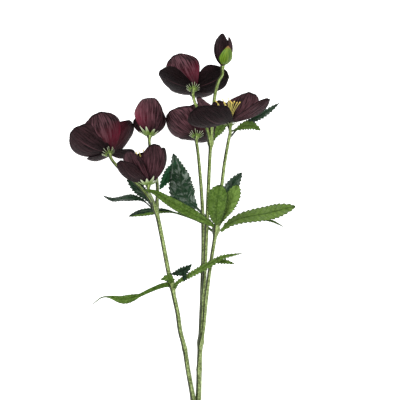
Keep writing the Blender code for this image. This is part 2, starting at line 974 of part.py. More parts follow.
def bloom_stamens(name, bloom, work, parts):
    """The stamens of a bloom, on a foot that sits a seat's gap above the petals' heart."""
    count, length, spread = bloom["stamens"]
    frame = facing(bloom["foot"], bloom["faces"])
    low = HEART_THICKNESS / 2 + SEAT_GAP
    foot_frame = frame @ Matrix.Translation((0, 0, low + STAMEN_FOOT_DEPTH / 2))
    pieces = [heart(name + "_foot", foot_frame, STAMEN_FOOT_RADIUS, STAMEN_FOOT_DEPTH, work)]
    for index in range(count):
        turn = GOLDEN_ANGLE * index
        lean = math.radians(spread) * math.sqrt((index + 0.5) / count)
        out = Vector((math.cos(turn), math.sin(turn), 0.0))
        reach = length * (1 - STAMEN_UNEVEN + STAMEN_UNEVEN * math.cos(STAMEN_STEP * index))
        foot = out * (STAMEN_FOOT_RADIUS * 0.75 * lean / math.radians(spread))
        foot.z = low + STAMEN_FOOT_DEPTH / 2
        tip = foot + out * (reach * math.sin(lean)) + Vector((0, 0, reach * math.cos(lean)))
        centre, depth = between(foot, tip)
        bm = bmesh.new()
        bmesh.ops.create_cone(
            bm,
            cap_ends=True,
            segments=3,
            radius1=FILAMENT_RADIUS,
            radius2=FILAMENT_RADIUS,
            depth=depth,
            matrix=frame @ centre,
        )
        pieces.append(object_from(bm, f"{name}_filament_{index}", work))
        bm = bmesh.new()
        tip_frame = centre.copy()
        tip_frame.translation = tip
        bmesh.ops.create_cube(bm, size=1.0, matrix=frame @ tip_frame @ Matrix.Diagonal((*ANTHER_SIZE, 1.0)))
        pieces.append(object_from(bm, f"{name}_anther_{index}", work))
    return fused(name + "_stamens", pieces, parts, "stamen")


def bud(work, parts):
    """The closed bud: petals wrapped over each other, and one green sepal over them."""
    frame = facing(BUD["foot"], BUD["faces"])
    pieces = [heart("bud_heart", frame, BUD_HEART_RADIUS, HEART_THICKNESS, work)]
    for index, petal in enumerate(BUD["petals"]):
        pieces.append(petal_blade(f"bud_petal_{index}", frame, petal, BUD_PETAL, work))
    fused("bud_petals", pieces, parts, "petal")
    sepal = petal_blade("bud_sepal_blade", frame, BUD_SEPAL, SEPAL_STYLE, work)
    return fused("bud_sepal", [sepal], parts, "bud_sepal")


# Leaves


def leaf_width(share, leaf):
    """A leaf's half width at this share of its length, as a share of its widest."""
    stalk = leaf["stalk"]
    widest = leaf["widest"]
    foot_taper, tip_taper = leaf.get("ends", LEAF_ENDS)
    if share < stalk:
        return 0.0
    if share < widest:
        return math.sin(math.pi / 2 * (share - stalk) / (widest - stalk)) ** foot_taper
    return max(0.0, math.cos(math.pi / 2 * (share - widest) / (1 - widest))) ** tip_taper


def leaf_point(leaf, side, share, tooth):
    """A leaf's point. Side runs from edge to edge, and share from the foot to the tip."""
    route = leaf["route"]
    centre = along(route, share)
    ahead = along(route, min(share + 0.02, 1.0)) - along(route, max(share - 0.02, 0.0))
    ahead.normalize()
    across = ahead.cross(Vector((0, 0, 1))).normalized()
    roll = math.radians(between_values(leaf["roll"], share))
    across.rotate(Matrix.Rotation(roll, 3, ahead))
    up = across.cross(ahead)
    foot = leaf.get("foot", LEAF_FOOT_WIDTH)
    least = foot + (LEAF_TIP_WIDTH - foot) * share
    half_width = max(least, leaf["half_width"] * leaf_width(share, leaf))
    half_width *= 1 + tooth * LEAF_TOOTH
    lift = half_width * (leaf["fold"] * abs(side) + LEAF_WAVE * math.sin(LEAF_WAVES * share) * side)
    return centre + across * (half_width * side) + up * lift


def leaf_blade(name, leaf, collection):
    """One blade with a toothed edge, thickened, both faces split into the same triangles."""
    rows = max(4, 2 * round(route_length(leaf["route"]) / LEAF_ROW_LENGTH / 2))
    bm = bmesh.new()
    bmesh.ops.create_grid(bm, x_segments=LEAF_COLUMNS, y_segments=rows, size=1.0)
    for vert in bm.verts:
        share = (vert.co.y + 1) / 2
        at_edge = abs(vert.co.x) > 0.99
        tooth = (-1) ** round(share * rows) if at_edge and 0 < share < 1 else 0
        vert.co = leaf_point(leaf, vert.co.x, share, tooth)
    bmesh.ops.triangulate(bm, faces=bm.faces)
    return thicken(object_from(bm, name, collection), LEAF_THICKNESS)


def leaf(name, form, work, parts):
    pieces = [leaf_blade(name + "_blade", form, work)]
    if "lobe" in form:
        route, half_width = form["lobe"]
        lobe = dict(form, route=route, half_width=half_width, stalk=0.0, widest=LOBE_WIDEST)
        pieces.append(leaf_blade(name + "_lobe", lobe, work))
    finish = "leaf_dark" if name in DARK_LEAVES else "leaf_light"
    return fused(name, pieces, parts, finish)


def main():
    clear_scene()
    parts = new_collection("hellebore_spray")
    work = new_collection("repeats")
    stem_system(work, parts)
    for name, bloom in BLOOMS.items():
        bloom_petals(name, bloom, work, parts)
        bloom_stamens(name, bloom, work, parts)
    bud(work, parts)
    for name, form in LEAVES.items():
        leaf(name, form, work, parts)
    bpy.data.collections.remove(work)


main()
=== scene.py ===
"""A cut spray of burgundy hellebore: its petals, leaves, stems and stamens at their full finish.

Sizes and places are millimetres from the cut end of the spray, as on the solids: X to the right, Y
up the spray and Z up from the surface that it lies on. placed() turns them into metres.
"""

import math
import random

import bmesh
import bpy
from mathutils import Matrix, Vector


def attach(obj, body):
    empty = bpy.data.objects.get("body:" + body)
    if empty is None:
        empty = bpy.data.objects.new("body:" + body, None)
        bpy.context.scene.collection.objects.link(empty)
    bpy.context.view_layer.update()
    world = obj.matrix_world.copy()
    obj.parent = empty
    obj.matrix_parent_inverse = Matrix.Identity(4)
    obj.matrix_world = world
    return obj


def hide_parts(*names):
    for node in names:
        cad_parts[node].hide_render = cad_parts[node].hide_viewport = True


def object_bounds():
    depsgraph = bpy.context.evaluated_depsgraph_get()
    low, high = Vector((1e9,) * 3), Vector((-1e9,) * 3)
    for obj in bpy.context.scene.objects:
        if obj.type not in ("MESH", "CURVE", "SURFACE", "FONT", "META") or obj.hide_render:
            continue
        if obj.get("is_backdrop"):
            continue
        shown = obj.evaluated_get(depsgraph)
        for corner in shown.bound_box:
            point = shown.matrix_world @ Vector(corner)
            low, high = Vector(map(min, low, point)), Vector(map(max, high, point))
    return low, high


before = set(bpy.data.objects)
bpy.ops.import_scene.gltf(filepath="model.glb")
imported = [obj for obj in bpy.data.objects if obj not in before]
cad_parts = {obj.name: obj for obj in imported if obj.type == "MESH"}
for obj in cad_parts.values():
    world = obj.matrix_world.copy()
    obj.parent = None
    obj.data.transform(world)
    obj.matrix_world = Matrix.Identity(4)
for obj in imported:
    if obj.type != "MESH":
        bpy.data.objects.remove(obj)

SOLIDS_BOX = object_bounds()
BODY = "root"
MM = 0.001
SPRAY_MIDDLE = Vector((-13.3, 191.4, 0.0))
SEAT_GAP = 0.3

# Stems: the route from foot to top, the radii along it, how young and pale the stem is at its foot
# and at its top, and the bloom that it carries.
CUT_RADII = (2.9, 2.9)
CUT_STEM = [(0, 0, 2.5), (-0.2, 15, 3.7)]
CUT_YOUTH = (0.1, 0.1)
LEFT_STEM = [
    (0, 0, 2.5), (-3, 18, 4.2), (-8, 46.4, 7.5), (-11.5, 68.7, 10), (-16, 86.6, 12),
    (-18.4, 104, 14), (-22.3, 122.3, 16), (-24, 133, 17), (-26.8, 142, 18), (-33.7, 178, 20.5),
    (-38.4, 201, 21.5), (-41, 211, 22),
]
RIGHT_STEM = [(0, 0, 2.5), (2.3, 18, 4), (3.2, 48, 7), (4.3, 74, 10), (6.5, 90, 12)]
STEM_A = [
    (4.3, 72, 9.6), (4.6, 87, 10.8), (5.6, 113.4, 13.5), (6.4, 140, 16), (6.9, 158, 18),
    (7.1, 175, 20), (6.7, 204, 23), (5.3, 228.4, 26.5), (3.2, 253, 31), (1.7, 267, 34),
]
STEM_B = [
    (4.5, 73, 10.2), (5.4, 87, 12.2), (7, 113.4, 15.5), (8.3, 140, 18.6), (9.4, 158, 21.2),
    (10, 175, 24), (11.3, 202.5, 29), (12.3, 228.4, 35), (13.4, 253, 42), (14.2, 268, 46.5),
    (15, 276, 48.5), (16, 293, 51), (18.5, 320, 54.5), (22, 335, 55),
]
STEM_C = [
    (4.4, 73, 10), (7.4, 90, 13.5), (9.6, 113.4, 18), (12.6, 140, 24.5), (15.5, 160, 30),
    (18.6, 179.3, 36), (20, 189, 39.5), (23, 213, 48.5), (26, 236.2, 57.5), (28, 253, 64.5),
    (31.4, 273, 74),
]
PEDICEL_1 = [(-41, 210, 22), (-46.3, 218.7, 22.5), (-55.7, 230.7, 24), (-68, 242, 28), (-78, 251, 35)]
PEDICEL_2 = [
    (-40.5, 209, 22), (-39.2, 216, 21), (-38.6, 226, 20), (-39.4, 239, 20), (-42.5, 256, 23),
    (-45.4, 268, 28.5),
]
PEDICEL_3 = [(-41, 209, 22.2), (-42.4, 215, 28), (-44.6, 221, 38)]
PEDICEL_4 = [(14.6, 272, 47.6), (12.8, 281, 50.5), (9.5, 292, 52), (2.6, 306, 51.5), (-1.2, 315, 49.5)]
STEMS = [
    (LEFT_STEM, (2.45, 2.25, 2.1), (0.1, 0.45), None),
    (RIGHT_STEM, (2.6, 2.6, 2.3), (0.1, 0.15), None),
    (STEM_A, (2.1, 1.8, 1.5), (0.1, 0.55), "bloom_5"),
    (STEM_B, (2.1, 1.8, 1.5), (0.1, 0.95), "bud"),
    (STEM_C, (2.0, 1.8, 1.5), (0.15, 0.6), "bloom_6"),
    (PEDICEL_1, (1.7, 1.5, 1.4), (0.45, 0.8), "bloom_1"),
    (PEDICEL_2, (1.7, 1.5, 1.4), (0.45, 0.95), "bloom_2"),
    (PEDICEL_3, (1.7, 1.5, 1.5), (0.45, 0.7), "bloom_3"),
    (PEDICEL_4, (1.7, 1.5, 1.4), (0.6, 1.0), "bloom_4"),
]
WELD_DISTANCE = 0.001

# Swellings of the stems: place, radius across the stem and radius along it.
STEM_NODES = {
    "cut_fork": ((-0.3, 14, 3.7), 3.1, 6),
    "left_ring": ((-11.5, 68.7, 10), 2.8, 2.4),
    "right_ring": ((3.2, 48, 7), 3, 2.4),
    "right_fork": ((4.5, 75, 10.4), 3.3, 5),
    "left_whorl": ((-24, 133, 17), 3.4, 5),
    "left_fork": ((-41, 211, 22), 3, 4.5),
    "right_whorl": ((20, 188.5, 39.3), 4, 5.5),
    "bract_fork": ((15, 275, 48.3), 2.9, 4),
}

# Blooms: the foot of the petals, the way the bloom faces, and its petals. A petal is its turn
# round the bloom's axis, its slope from that axis at its foot and at its tip, its length, its half
# width, the radius that it curls to across its width, and how far it is twisted. A turn of 0 is
# to the right, and -90 is towards a viewer above the spray. Stamens are their count, length and
# spread, and a frill is its count, length, half width and slope from the bloom's axis.
BLOOMS = {
    "bloom_1": {
        "foot": (-87.6, 266, 35.2), "faces": (-0.36, 0.76, -0.5),
        "petals": [
            (-150, 86, 16, 44, 25, 34, -8), (-92, 88, 20, 45, 23.5, 24, 0),
            (-14, 88, 30, 40, 18, 26, 0), (40, 90, 84, 37, 7, 26, 0), (108, 86, 50, 27, 17, 26, 0),
        ],
        "stamens": (24, 14, 26), "frill": (16, 8.6, 1.1, 76),
    },
    "bloom_2": {
        "foot": (-46.4, 285, 33), "faces": (0.02, 0.9, -0.34),
        "petals": [
            (-96, 94, -46, 45, 18, 16, 0), (-30, 86, -38, 31, 13, 16, 0),
            (50, 94, -36, 32, 14, 16, 0), (122, 94, -36, 32, 14, 16, 0),
            (198, 94, -34, 21, 9.5, 16, 0),
        ],
        "stamens": (24, 9, 16), "frill": (9, 14, 1.7, 74),
    },
    "bloom_3": {
        "foot": (-47.6, 236, 51), "faces": (-0.05, 0.97, -0.18),
        "petals": [
            (-70, 74, -6, 44, 14, 17, 0), (-18, 68, -14, 40, 14, 17, 0),
            (100, 68, -24, 40, 16, 19, 0), (-132, 76, 8, 41, 14.5, 24, 0),
            (-147, 88, 28, 38, 12.5, 34, -22),
        ],
        "stamens": (18, 27, 15), "frill": (9, 13, 2.1, 74),
    },
    "bloom_4": {
        "foot": (-2.8, 330, 40), "faces": (0.02, 0.74, -0.6),
        "petals": [
            (-168, 94, 46, 37, 19, 34, 0), (-126, 88, 28, 38.5, 22, 30, 0),
            (-19, 94, 52, 37, 18.5, 34, 0), (50, 86, 40, 36, 18, 26, 0),
            (126, 86, 40, 34, 19, 26, 0),
        ],
        "stamens": (24, 14, 26), "frill": (16, 8.6, 1.1, 76),
    },
    "bloom_5": {
        "foot": (0.3, 283.5, 31.4), "faces": (-0.02, 0.76, -0.56),
        "petals": [
            (-154, 94, 20, 36.5, 24, 34, -12), (-88, 88, 12, 33, 17, 24, 0),
            (-18, 88, 30, 38, 17, 26, 0), (44, 88, 40, 32, 17, 26, 0), (112, 86, 44, 25, 16, 26, 0),
        ],
        "stamens": (24, 12, 22), "frill": (16, 8.6, 1.1, 76),
    },
    "bloom_6": {
        "foot": (32.9, 294.5, 82), "faces": (-0.08, 0.97, -0.1),
        "petals": [
            (-127, 108, 44, 53.5, 21.5, 60, -29), (-30, 88, 50, 49, 13, 50, 0),
            (49, 66, 26, 46, 18, 44, -24), (118, 64, 4, 31, 13, 26, 0),
            (157, 74, 16, 43, 15, 30, 0),
        ],
        "stamens": (15, 20, 30), "frill": (16, 6.6, 1, 80),
    },
}
PETAL_FOOT_OUT = 1.4
PETAL_FOOT_WIDTH = 0.3
PETAL_WAVES = 6.0
PETAL_TWISTS_AT = 0.25
# A style of petal: its tilt over the next petal, its wave, where it is widest, how wide and how
# round its tip is, and how far its foot stands off the heart
OPEN_PETAL = {
    "lap": 7.0, "wave": 0.9, "widest": 0.62, "tip_width": 0.6, "tip_round": 0.11, "stand_off": 0.0,
}
HEART_RADIUS = 3.6
HEART_THICKNESS = 1.6
CUP_RADIUS = 3.1
CUP_DEPTH = 8.0
CUP_FOOT_RADIUS = 1.4
PEDICEL_STRAIGHT = 10.0
PEDICEL_SUNK = 5.0
FRILL_DROP = 2.2
FRILL_FOOT_SHARE = 0.5
STAMEN_FOOT_RADIUS = 2.2
STAMEN_FOOT_DEPTH = 1.4
GOLDEN_ANGLE = math.pi * (3 - math.sqrt(5))

# The closed bud at the top of the spray.
BUD = {
    "foot": (26.4, 352, 53.6), "faces": (0.05, 0.99, -0.06),
    "petals": [
        (-112, 50, -36, 34, 9, 9, 0), (-14, 50, -36, 31, 8, 9, 0), (78, 50, -36, 30, 8, 9, 0),
        (160, 50, -36, 31, 8, 9, 0),
    ],
}
BUD_HEART_RADIUS = 2.4
BUD_PETAL = {
    "lap": 9.0, "wave": 0.0, "widest": 0.6, "tip_width": 0.5, "tip_round": 0.12, "stand_off": 0.0,
}
BUD_SEPAL = (-68, 60, -12, 21, 7.4, 10, 0)
SEPAL_STYLE = {
    "lap": 0.0, "wave": 0.0, "widest": 0.34, "tip_width": 0.06, "tip_round": 0.0, "stand_off": 2.4,
}
BUD_CUP_RADIUS = 2.3

# Leaves: the route from a seat's gap off the stem to the tip, the shares of the length at which the
# blade is widest and that are stalk, the roll about the midrib at foot and tip, the depth of the
# fold, the half width at the foot, and the tapers towards foot and tip, where a higher number draws
# the end out. The teeth are their pitch and depth, "turned" is the share of the width, at foot and
# tip, that shows the pale under face, and a dark leaf lies with its dark upper face up. A lobe is
# one more blade of its leaf. USUAL_LEAF and USUAL_LOBE hold what isn't said here.
LEAVES = {
    "leaf_whorl_left": {
        "route": [
            (17.4, 192, 41.5), (9, 197.5, 41), (-3, 204, 40.5), (-16, 210.8, 43),
            (-29.5, 218.5, 48), (-41, 225.5, 53.5), (-52.6, 228.4, 57),
        ],
        "half_width": 5.4, "widest": 0.45, "roll": (0, 12), "fold": 0.22, "foot": 1.6,
        "ends": (0.6, 0.9), "paleness": 0.4, "teeth": (3.3, 0.25),
    },
    "leaf_whorl_up": {
        "route": [(20.5, 193.9, 43.9), (20.2, 204, 52.5), (21.2, 218, 59), (23.8, 233, 63.5)],
        "half_width": 10, "widest": 0.72, "stalk": 0.04, "fold": 0.16, "foot": 1.6,
        "ends": (0.6, 0.7), "paleness": 0.35,
    },
    "leaf_whorl_up_right": {
        "route": [(23.8, 193.2, 41.4), (28, 203.5, 48.6), (34, 215.5, 54.4), (41.6, 233, 59.4)],
        "half_width": 7.2, "widest": 0.7, "stalk": 0.04, "roll": (4, 4), "ends": (1, 0.7),
        "paleness": 1.1, "midrib": 0,
    },
    "leaf_whorl_up_dark": {
        "route": [
            (21.8, 192.7, 37), (27, 206, 33.5), (32.5, 222, 33), (38.5, 235, 32), (45.7, 245.4, 30),
        ],
        "half_width": 7.8, "widest": 0.62, "stalk": 0.1, "roll": (-14, -14), "fold": 0.18,
        "paleness": 0.3, "dark": True,
    },
    "leaf_whorl_right": {
        "route": [
            (25.3, 187.4, 39.1), (34, 195, 35), (45.3, 199.8, 30), (58.6, 202.6, 24),
            (72.7, 205, 16.5), (86, 208.4, 7.4), (100, 211.6, 0.45),
        ],
        "half_width": 7.2, "widest": 0.7, "fold": 0.16, "foot": 1.6, "ends": (0.6, 0.8),
        "paleness": 1, "teeth": (5.4, 0.65),
        "lobe_route": [(62, 200.8, 22.7), (70, 198.6, 17.6), (78, 196.2, 12.2), (87.4, 191.4, 6)],
        "lobe": {"half_width": 1.3, "paleness": -0.6},
    },
    "leaf_whorl_dark": {
        "route": [
            (19.6, 189.4, 35), (17, 193, 23), (8, 203, 15), (-1, 211.6, 12.5), (-10, 219, 12),
            (-14.4, 229, 12.5), (-16, 240, 13), (-19.2, 251, 12), (-22.8, 264.8, 9),
        ],
        "half_width": 12.6, "widest": 0.58, "stalk": 0.36, "roll": (-8, -8), "foot": 1.6,
        "paleness": 0.74, "dark": True,
        "lobe_route": [(-19, 256, 11.6), (-24.5, 248, 10), (-31, 238, 8.5), (-36.6, 228.6, 6)],
        "lobe": {"half_width": 5.6, "paleness": 1.5},
    },
    "leaf_whorl_far_left": {
        "route": [
            (19, 185.6, 35.1), (15, 188, 19), (4, 196, 11), (-14, 203, 7), (-30, 206.8, 6),
            (-45, 206.2, 6), (-58, 204.4, 5), (-67.7, 201.5, 3),
        ],
        "half_width": 3.9, "widest": 0.84, "stalk": 0.5, "roll": (24, 24), "fold": 0.18,
        "foot": 1.5, "paleness": 0.3, "teeth": (3.3, 0.3), "turned": (0.9, 0.2), "dark": True,
    },
    "leaf_upper_left": {
        "route": [
            (-44, 213, 19.8), (-51, 222, 15.5), (-58, 230, 15), (-65, 238, 15.5), (-70, 246, 15),
        ],
        "half_width": 6, "widest": 0.55, "stalk": 0.04, "fold": 0.16, "foot": 1.8,
        "paleness": 0.2, "dark": True,
    },
    "leaf_upper_far_left": {
        "route": [
            (-44.9, 210.4, 22.2), (-52.5, 217, 23), (-61, 219.4, 24), (-70.3, 219.4, 23),
            (-83.4, 218, 21), (-93.4, 222.4, 20),
        ],
        "half_width": 6.4, "widest": 0.5, "stalk": 0.1, "roll": (58, 66), "fold": 0.14,
        "paleness": 0, "teeth": (3.3, 0.4), "dark": True,
    },
    "leaf_lower_left": {
        "route": [
            (-27.7, 133.2, 17.4), (-34, 132.2, 18.6), (-46, 127.5, 20), (-59, 121.5, 19),
            (-73, 118, 16.5), (-86, 120.5, 13), (-95, 120, 10.5), (-103.6, 113.3, 8),
        ],
        "half_width": 4.4, "widest": 0.55, "stalk": 0.3, "roll": (10, 10), "fold": 0.18,
        "foot": 2.7, "ends": (1.3, 4), "paleness": 0.15, "teeth": (3.3, 0.2),
    },
    "leaf_lower_right": {
        "route": [
            (-21.4, 130.4, 19.7), (-18.6, 135.4, 24.4), (-12.1, 139.6, 26.5), (-0.5, 146.2, 29.5),
            (15.3, 155, 34), (27, 161.2, 35), (45.8, 164.8, 33),
        ],
        "half_width": 3.3, "widest": 0.5, "roll": (14, 14), "fold": 0.22, "foot": 2,
        "ends": (0.6, 0.9),
        "lobe_route": [(18, 156.6, 33.8), (27, 157, 31), (38.4, 154.3, 27)],
        "lobe": {"half_width": 2.6},
    },
    "leaf_lower_small_dark": {
        "route": [
            (-25.6, 143.9, 20.6), (-20.5, 144.6, 24.6), (-14, 146.8, 29), (-8.6, 149.8, 30.8),
            (-4.3, 154, 31.2),
        ],
        "half_width": 4, "widest": 0.62, "ends": (1.3, 1), "paleness": 0, "dark": True,
        "lobe_route": [(-13.2, 147.6, 29.8), (-11.9, 142.8, 30.2), (-11.5, 136.6, 30)],
        "lobe": {"half_width": 2.5},
    },
    "leaf_lower_small_light": {
        "route": [
            (-24.9, 135.8, 20.5), (-26.4, 139.4, 21.9), (-29, 140, 21.6), (-35.5, 138.2, 19.5),
        ],
        "half_width": 4.2, "widest": 0.3, "fold": 0.12, "foot": 2, "ends": (0.5, 1.2),
    },
    "bract_left": {
        "route": [(18.2, 278, 49), (20.6, 283, 51), (25, 290, 55), (31, 296, 58)],
        "half_width": 4.4, "widest": 0.62, "stalk": 0.04, "paleness": 0.6,
    },
    "bract_right": {
        "route": [
            (35.9, 286, 81.6), (42, 288.6, 78.5), (48, 291.2, 76.5), (56, 291.2, 75),
            (63.7, 286.8, 72),
        ],
        "half_width": 4.2, "widest": 0.55, "stalk": 0.04, "paleness": 0.6,
    },
    "bract_far_right": {
        "route": [
            (34.7, 281, 77.4), (44, 291, 68), (56, 297, 66), (68, 303.6, 68), (82, 313.6, 70),
        ],
        "half_width": 3.3, "widest": 0.66, "stalk": 0.1, "paleness": 0.3, "dark": True,
    },
}
USUAL_LEAF = {
    "stalk": 0.0, "roll": (0, 0), "fold": 0.2, "foot": 0.9, "ends": (1.3, 0.9), "paleness": 0.5,
    "teeth": (3.3, 0.75), "midrib": 1.0, "turned": (0.0, 0.0), "dark": False,
}
USUAL_LOBE = {"widest": 0.35, "stalk": 0.0, "teeth": (3.3, 0.75), "midrib": 0.0}
LEAF_TIP_WIDTH = 0.35
LEAF_FOOT_REACH = 0.9
LEAF_WAVE = 0.06
LEAF_WAVES = 17.0

# The length of stem that its map's unit covers, then cups, frills and stamens, and the most side
# veins and petals that a tint stands for
STEM_MAP_LENGTH = 10.0
CUP_PROFILE = (0.5, 0.82, 1.0)
CUP_STEPS = (1.0, 0.66, 0.33, 0.0)
CUP_RINGS = 14
CUP_YOUTH = (0.7, 0.9)
SPIKE_HALF_WIDTH = 1.1
SPIKE_STEPS = (0.0, 0.35, 0.7, 1.0)
SPIKE_BEND = 14.0
SPIKE_STRAY = 0.12
SPIKE_LENGTHS = (0.75, 1.08)
SPIKE_UNEVEN = 0.25
FRILL_SEED = 6
BROAD_SPIKE = 1.5
FACING_AWAY = -0.2
LEAFLET_GRID = (10, 10)
LEAFLET_TIP = 0.12
LEAFLET_FLATNESS = 0.22
LEAFLET_PROFILE = (0.55, 0.95, 1.0, 0.8, 0.42, 0.0)
NECTARY_LENGTH = 3.4
LONG_STAMEN = 1.1
MOST_VEINS = 32.0
MOST_PETALS = 5

# Petals: their colours as linear light, and their surface
PETAL_BLACK = (0.002, 0.001, 0.001, 1.0)
PETAL_BURGUNDY = (0.021, 0.0072, 0.0088, 1.0)
# The mauve is painted highlight where light catches a petal's striping and middle fold
PETAL_LIT_MAUVE = (0.25, 0.105, 0.13, 1.0)
# Painted light: the red glow where light shines through a petal
PETAL_GLOW_RED = (0.28, 0.01, 0.046, 1.0)
PETAL_SPECK = (0.075, 0.045, 0.05, 1.0)
PETAL_RIM = (0.0035, 0.0018, 0.0022, 1.0)
PETAL_ROUGHNESS = 0.6
PETAL_SPECULAR = 0.06
PETAL_SHEEN = 0.03
SHEEN_ROUGHNESS = 0.45
SHEEN_COLOUR = (0.8, 0.5, 0.6, 1.0)
# Strength of the painted highlight along each petal's middle fold
PETAL_FOLD_HIGHLIGHT = 0.3
# How far the painted red glow reaches in from each edge, and where it fades along the petal
RED_REACH = 2.4
RED_HIGH = (1.9, 0.98)
RED_LOW = (2.6, 0.72)
STRIPES = 58.0
STRIPE_DRIFT = 4.0
PATCH_SCALE = 40.0
WEAVE_SCALE = 900.0

# Leaves: the colours of a face's tissue, its pale mottles, its veins and its teeth, as linear
# light, and then those of fresh tissue and of the painted glints of light on the wax
LEAF_LIGHT = (
    (0.06, 0.125, 0.01, 1.0), (0.19, 0.31, 0.062, 1.0), (0.05, 0.11, 0.01, 1.0),
    (0.03, 0.06, 0.012, 1.0),
)
LEAF_DARK = (
    (0.005, 0.02, 0.007, 1.0), (0.026, 0.085, 0.036, 1.0), (0.03, 0.07, 0.03, 1.0),
    (0.006, 0.016, 0.008, 1.0),
)
LEAF_FRESH = (0.04, 0.17, 0.075, 1.0)
LEAF_PAINTED_GLINT = (0.38, 0.45, 0.39, 1.0)
MOTTLE_SCALE = 480.0
CLOUD_SCALE = 60.0

# Stems, frills, stamens and the bud's sepal: their colours as linear light
# The first colour is painted shade for the side of a stem away from the light
STEM_SHADE = (0.012, 0.018, 0.003, 1.0)
STEM_GREEN = (0.11, 0.15, 0.04, 1.0)
STEM_FRESH_SHADE = (0.16, 0.24, 0.03, 1.0)
STEM_FRESH = (0.5, 0.66, 0.2, 1.0)
STEM_PALE = (0.5, 0.62, 0.26, 1.0)
FRILL_GREEN = (0.24, 0.38, 0.07, 1.0)
FRILL_TIP_COLOUR = (0.74, 0.8, 0.56, 1.0)
FILAMENT_COLOUR = (0.88, 0.76, 0.2, 1.0)
ANTHER_COLOUR = (0.98, 0.74, 0.16, 1.0)
SEPAL_DEEP = (0.075, 0.17, 0.006, 1.0)
SEPAL_PALE = (0.22, 0.34, 0.022, 1.0)
SEPAL_TIP = (0.33, 0.15, 0.05, 1.0)
GRAIN_SCALE = 900.0

# Studio and camera: lengths in metres, except the sensor's width and the middle of the view,
# which are in millimetres. A light is its place, size and power.
CAMERA_HEIGHT = 3.5
CAMERA_SENSOR = 36.0
TRUE_SIZE_HEIGHT = 0.025
VIEW_WIDTH = 0.4
VIEW_MIDDLE = (4, 218, 0)
FLOOR_HALF = 3.0
FLOOR_COLOUR = (0.86, 0.86, 0.86, 1.0)
WHITE = (1.0, 1.0, 1.0, 1.0)
FLOOR_GLOW = 1.0
WORLD_LIGHT = 0.36
LIGHTS = {"key_light": ((-0.9, 0.7, 1.6), 1.4, 34.0), "fill_light": ((1.3, -0.6, 1.4), 1.6, 8.0)}

# Fine surface: how many faces carry the form, and the relief on it
PETAL_GRID = (40, 36)
PETAL_WALL = 0.5
PETAL_RUFFLE = 0.4
PETAL_RUFFLES = 5.0
PETAL_PLEAT = 0.16
PETAL_PLEATS = 9
PETAL_NICK = 0.006
PETAL_NICKS = 9.0
BUD_RUFFLED = 0.3
LEAF_COLUMNS = 16
LEAF_WALL = 0.5
LEAF_ROWS_A_TOOTH = 4
TOOTH_TOP = 0.75
LEAF_VEIN_PITCH = 6.5
LEAF_VEIN_SLANT = 1.1
LEAF_QUILT = 0.32
LEAF_MIDRIB = 0.45
LEAF_MIDRIB_REACH = 0.1
LEAF_FULL_FROM = 3.0
STEM_SIDES = 24
STEM_RING_STEP = 2.5
CUT_RINGS = 8
STEM_RIBS = 6
STEM_RIB = 0.07
FILAMENT_RADII = (0.44, 0.38, 0.34)
ANTHER = (0.6, 0.6, 1.15)
NECTARIES = 14
NECTARY_RADII = (0.35, 0.62, 0.75)
NECTARY_GRID = (8, 4)
NECTARY_LEAN = 1.5
NECTARY_BEND = 0.7
STAMEN_LOW = HEART_THICKNESS / 2 + SEAT_GAP
STAMEN_FOOT_PROFILE = (1.0, 1.0, 0.7)
STAMEN_FOOT_GRID = (16, 4)
STAMEN_FEET_WITHIN = 0.75
STAMEN_LENGTHS = (0.72, 1.0)
FILAMENT_STEPS = (0.0, 0.4, 0.75, 1.0)
FILAMENT_LEAN = (0.7, 0.45)
SPIKE_RADII = (0.55, 0.34, 0.24, 0.2)
THIN_GRID = (6, 6)
HEART_PROFILE = (0.9, 1.0, 1.0, 0.8)
HEART_RINGS = 6
SMOOTH_UP_TO = 60

# Painted light on each petal: its red glow at its two edges, and how strongly it is lit, with mauve
# highlights on its striping
TINTS = {
    "bloom_1": [(0, 0, 0.12), (0, 1.3, 0.5), (0.7, 0.1, 0.3), (0, 0, 0.1), (0, 0, 0.1)],
    "bloom_2": [(0.9, 0.05, 0.6), (0, 0, 0.3), (0, 0, 0.2), (0, 0, 0.2), (0, 0, 0.2)],
    "bloom_3": [(0.1, 0.15, 0.45), (0.1, 0, 0.15), (0, 0, 0.1), (0.2, 0.1, 0.36), (0, 0.05, 0.12)],
    "bloom_4": [(0, 0, 0), (0.5, 0.6, 0.6), (0, 0, 0.02), (0, 0, 0.05), (0, 0, 0.05)],
    "bloom_5": [(0, 0.1, 0.5), (0.1, 0.2, 0.4), (0, 0, 0.15), (0, 0, 0.1), (0, 0, 0.1)],
    "bloom_6": [(0, 0, 0.05), (0.2, 0.1, 0.32), (0.2, 0.1, 0.36), (0, 0, 0.2), (0.1, 0.1, 1)],
    "bud": [(0, 0, 0.06), (0.05, 0, 0.3), (0, 0, 0.2), (0, 0, 0.2)],
}


# Places and frames


def placed(point):
    """A point in millimetres from the cut end, as metres from the object's origin."""
    return (Vector(point) - SPRAY_MIDDLE) * MM


def facing(bloom):
    """The frame at a bloom's foot whose Z runs the way it faces, and whose X stays to the right."""
    axis = Vector(bloom["faces"]).normalized()
    right = Vector((1.0, 0.0, 0.0))
    right = (right - axis * right.dot(axis)).normalized()
    turned = Matrix((right, axis.cross(right), axis)).transposed().to_4x4()
    turned.translation = Vector(bloom["foot"])
    return turned


def outward(turn):
    """The direction straight out from an axis, at this turn round it."""
    return Vector((math.cos(turn), math.sin(turn), 0.0))


def leaning(out, slope):
    """The direction that leans away from the axis by this slope."""
    return out * math.sin(slope) + Vector((0, 0, math.cos(slope)))


def on_axis(bloom, heights):
    """The places on a bloom's axis at these heights above its foot."""
    turned = facing(bloom)
    return [turned @ Vector((0, 0, height)) for height in heights]


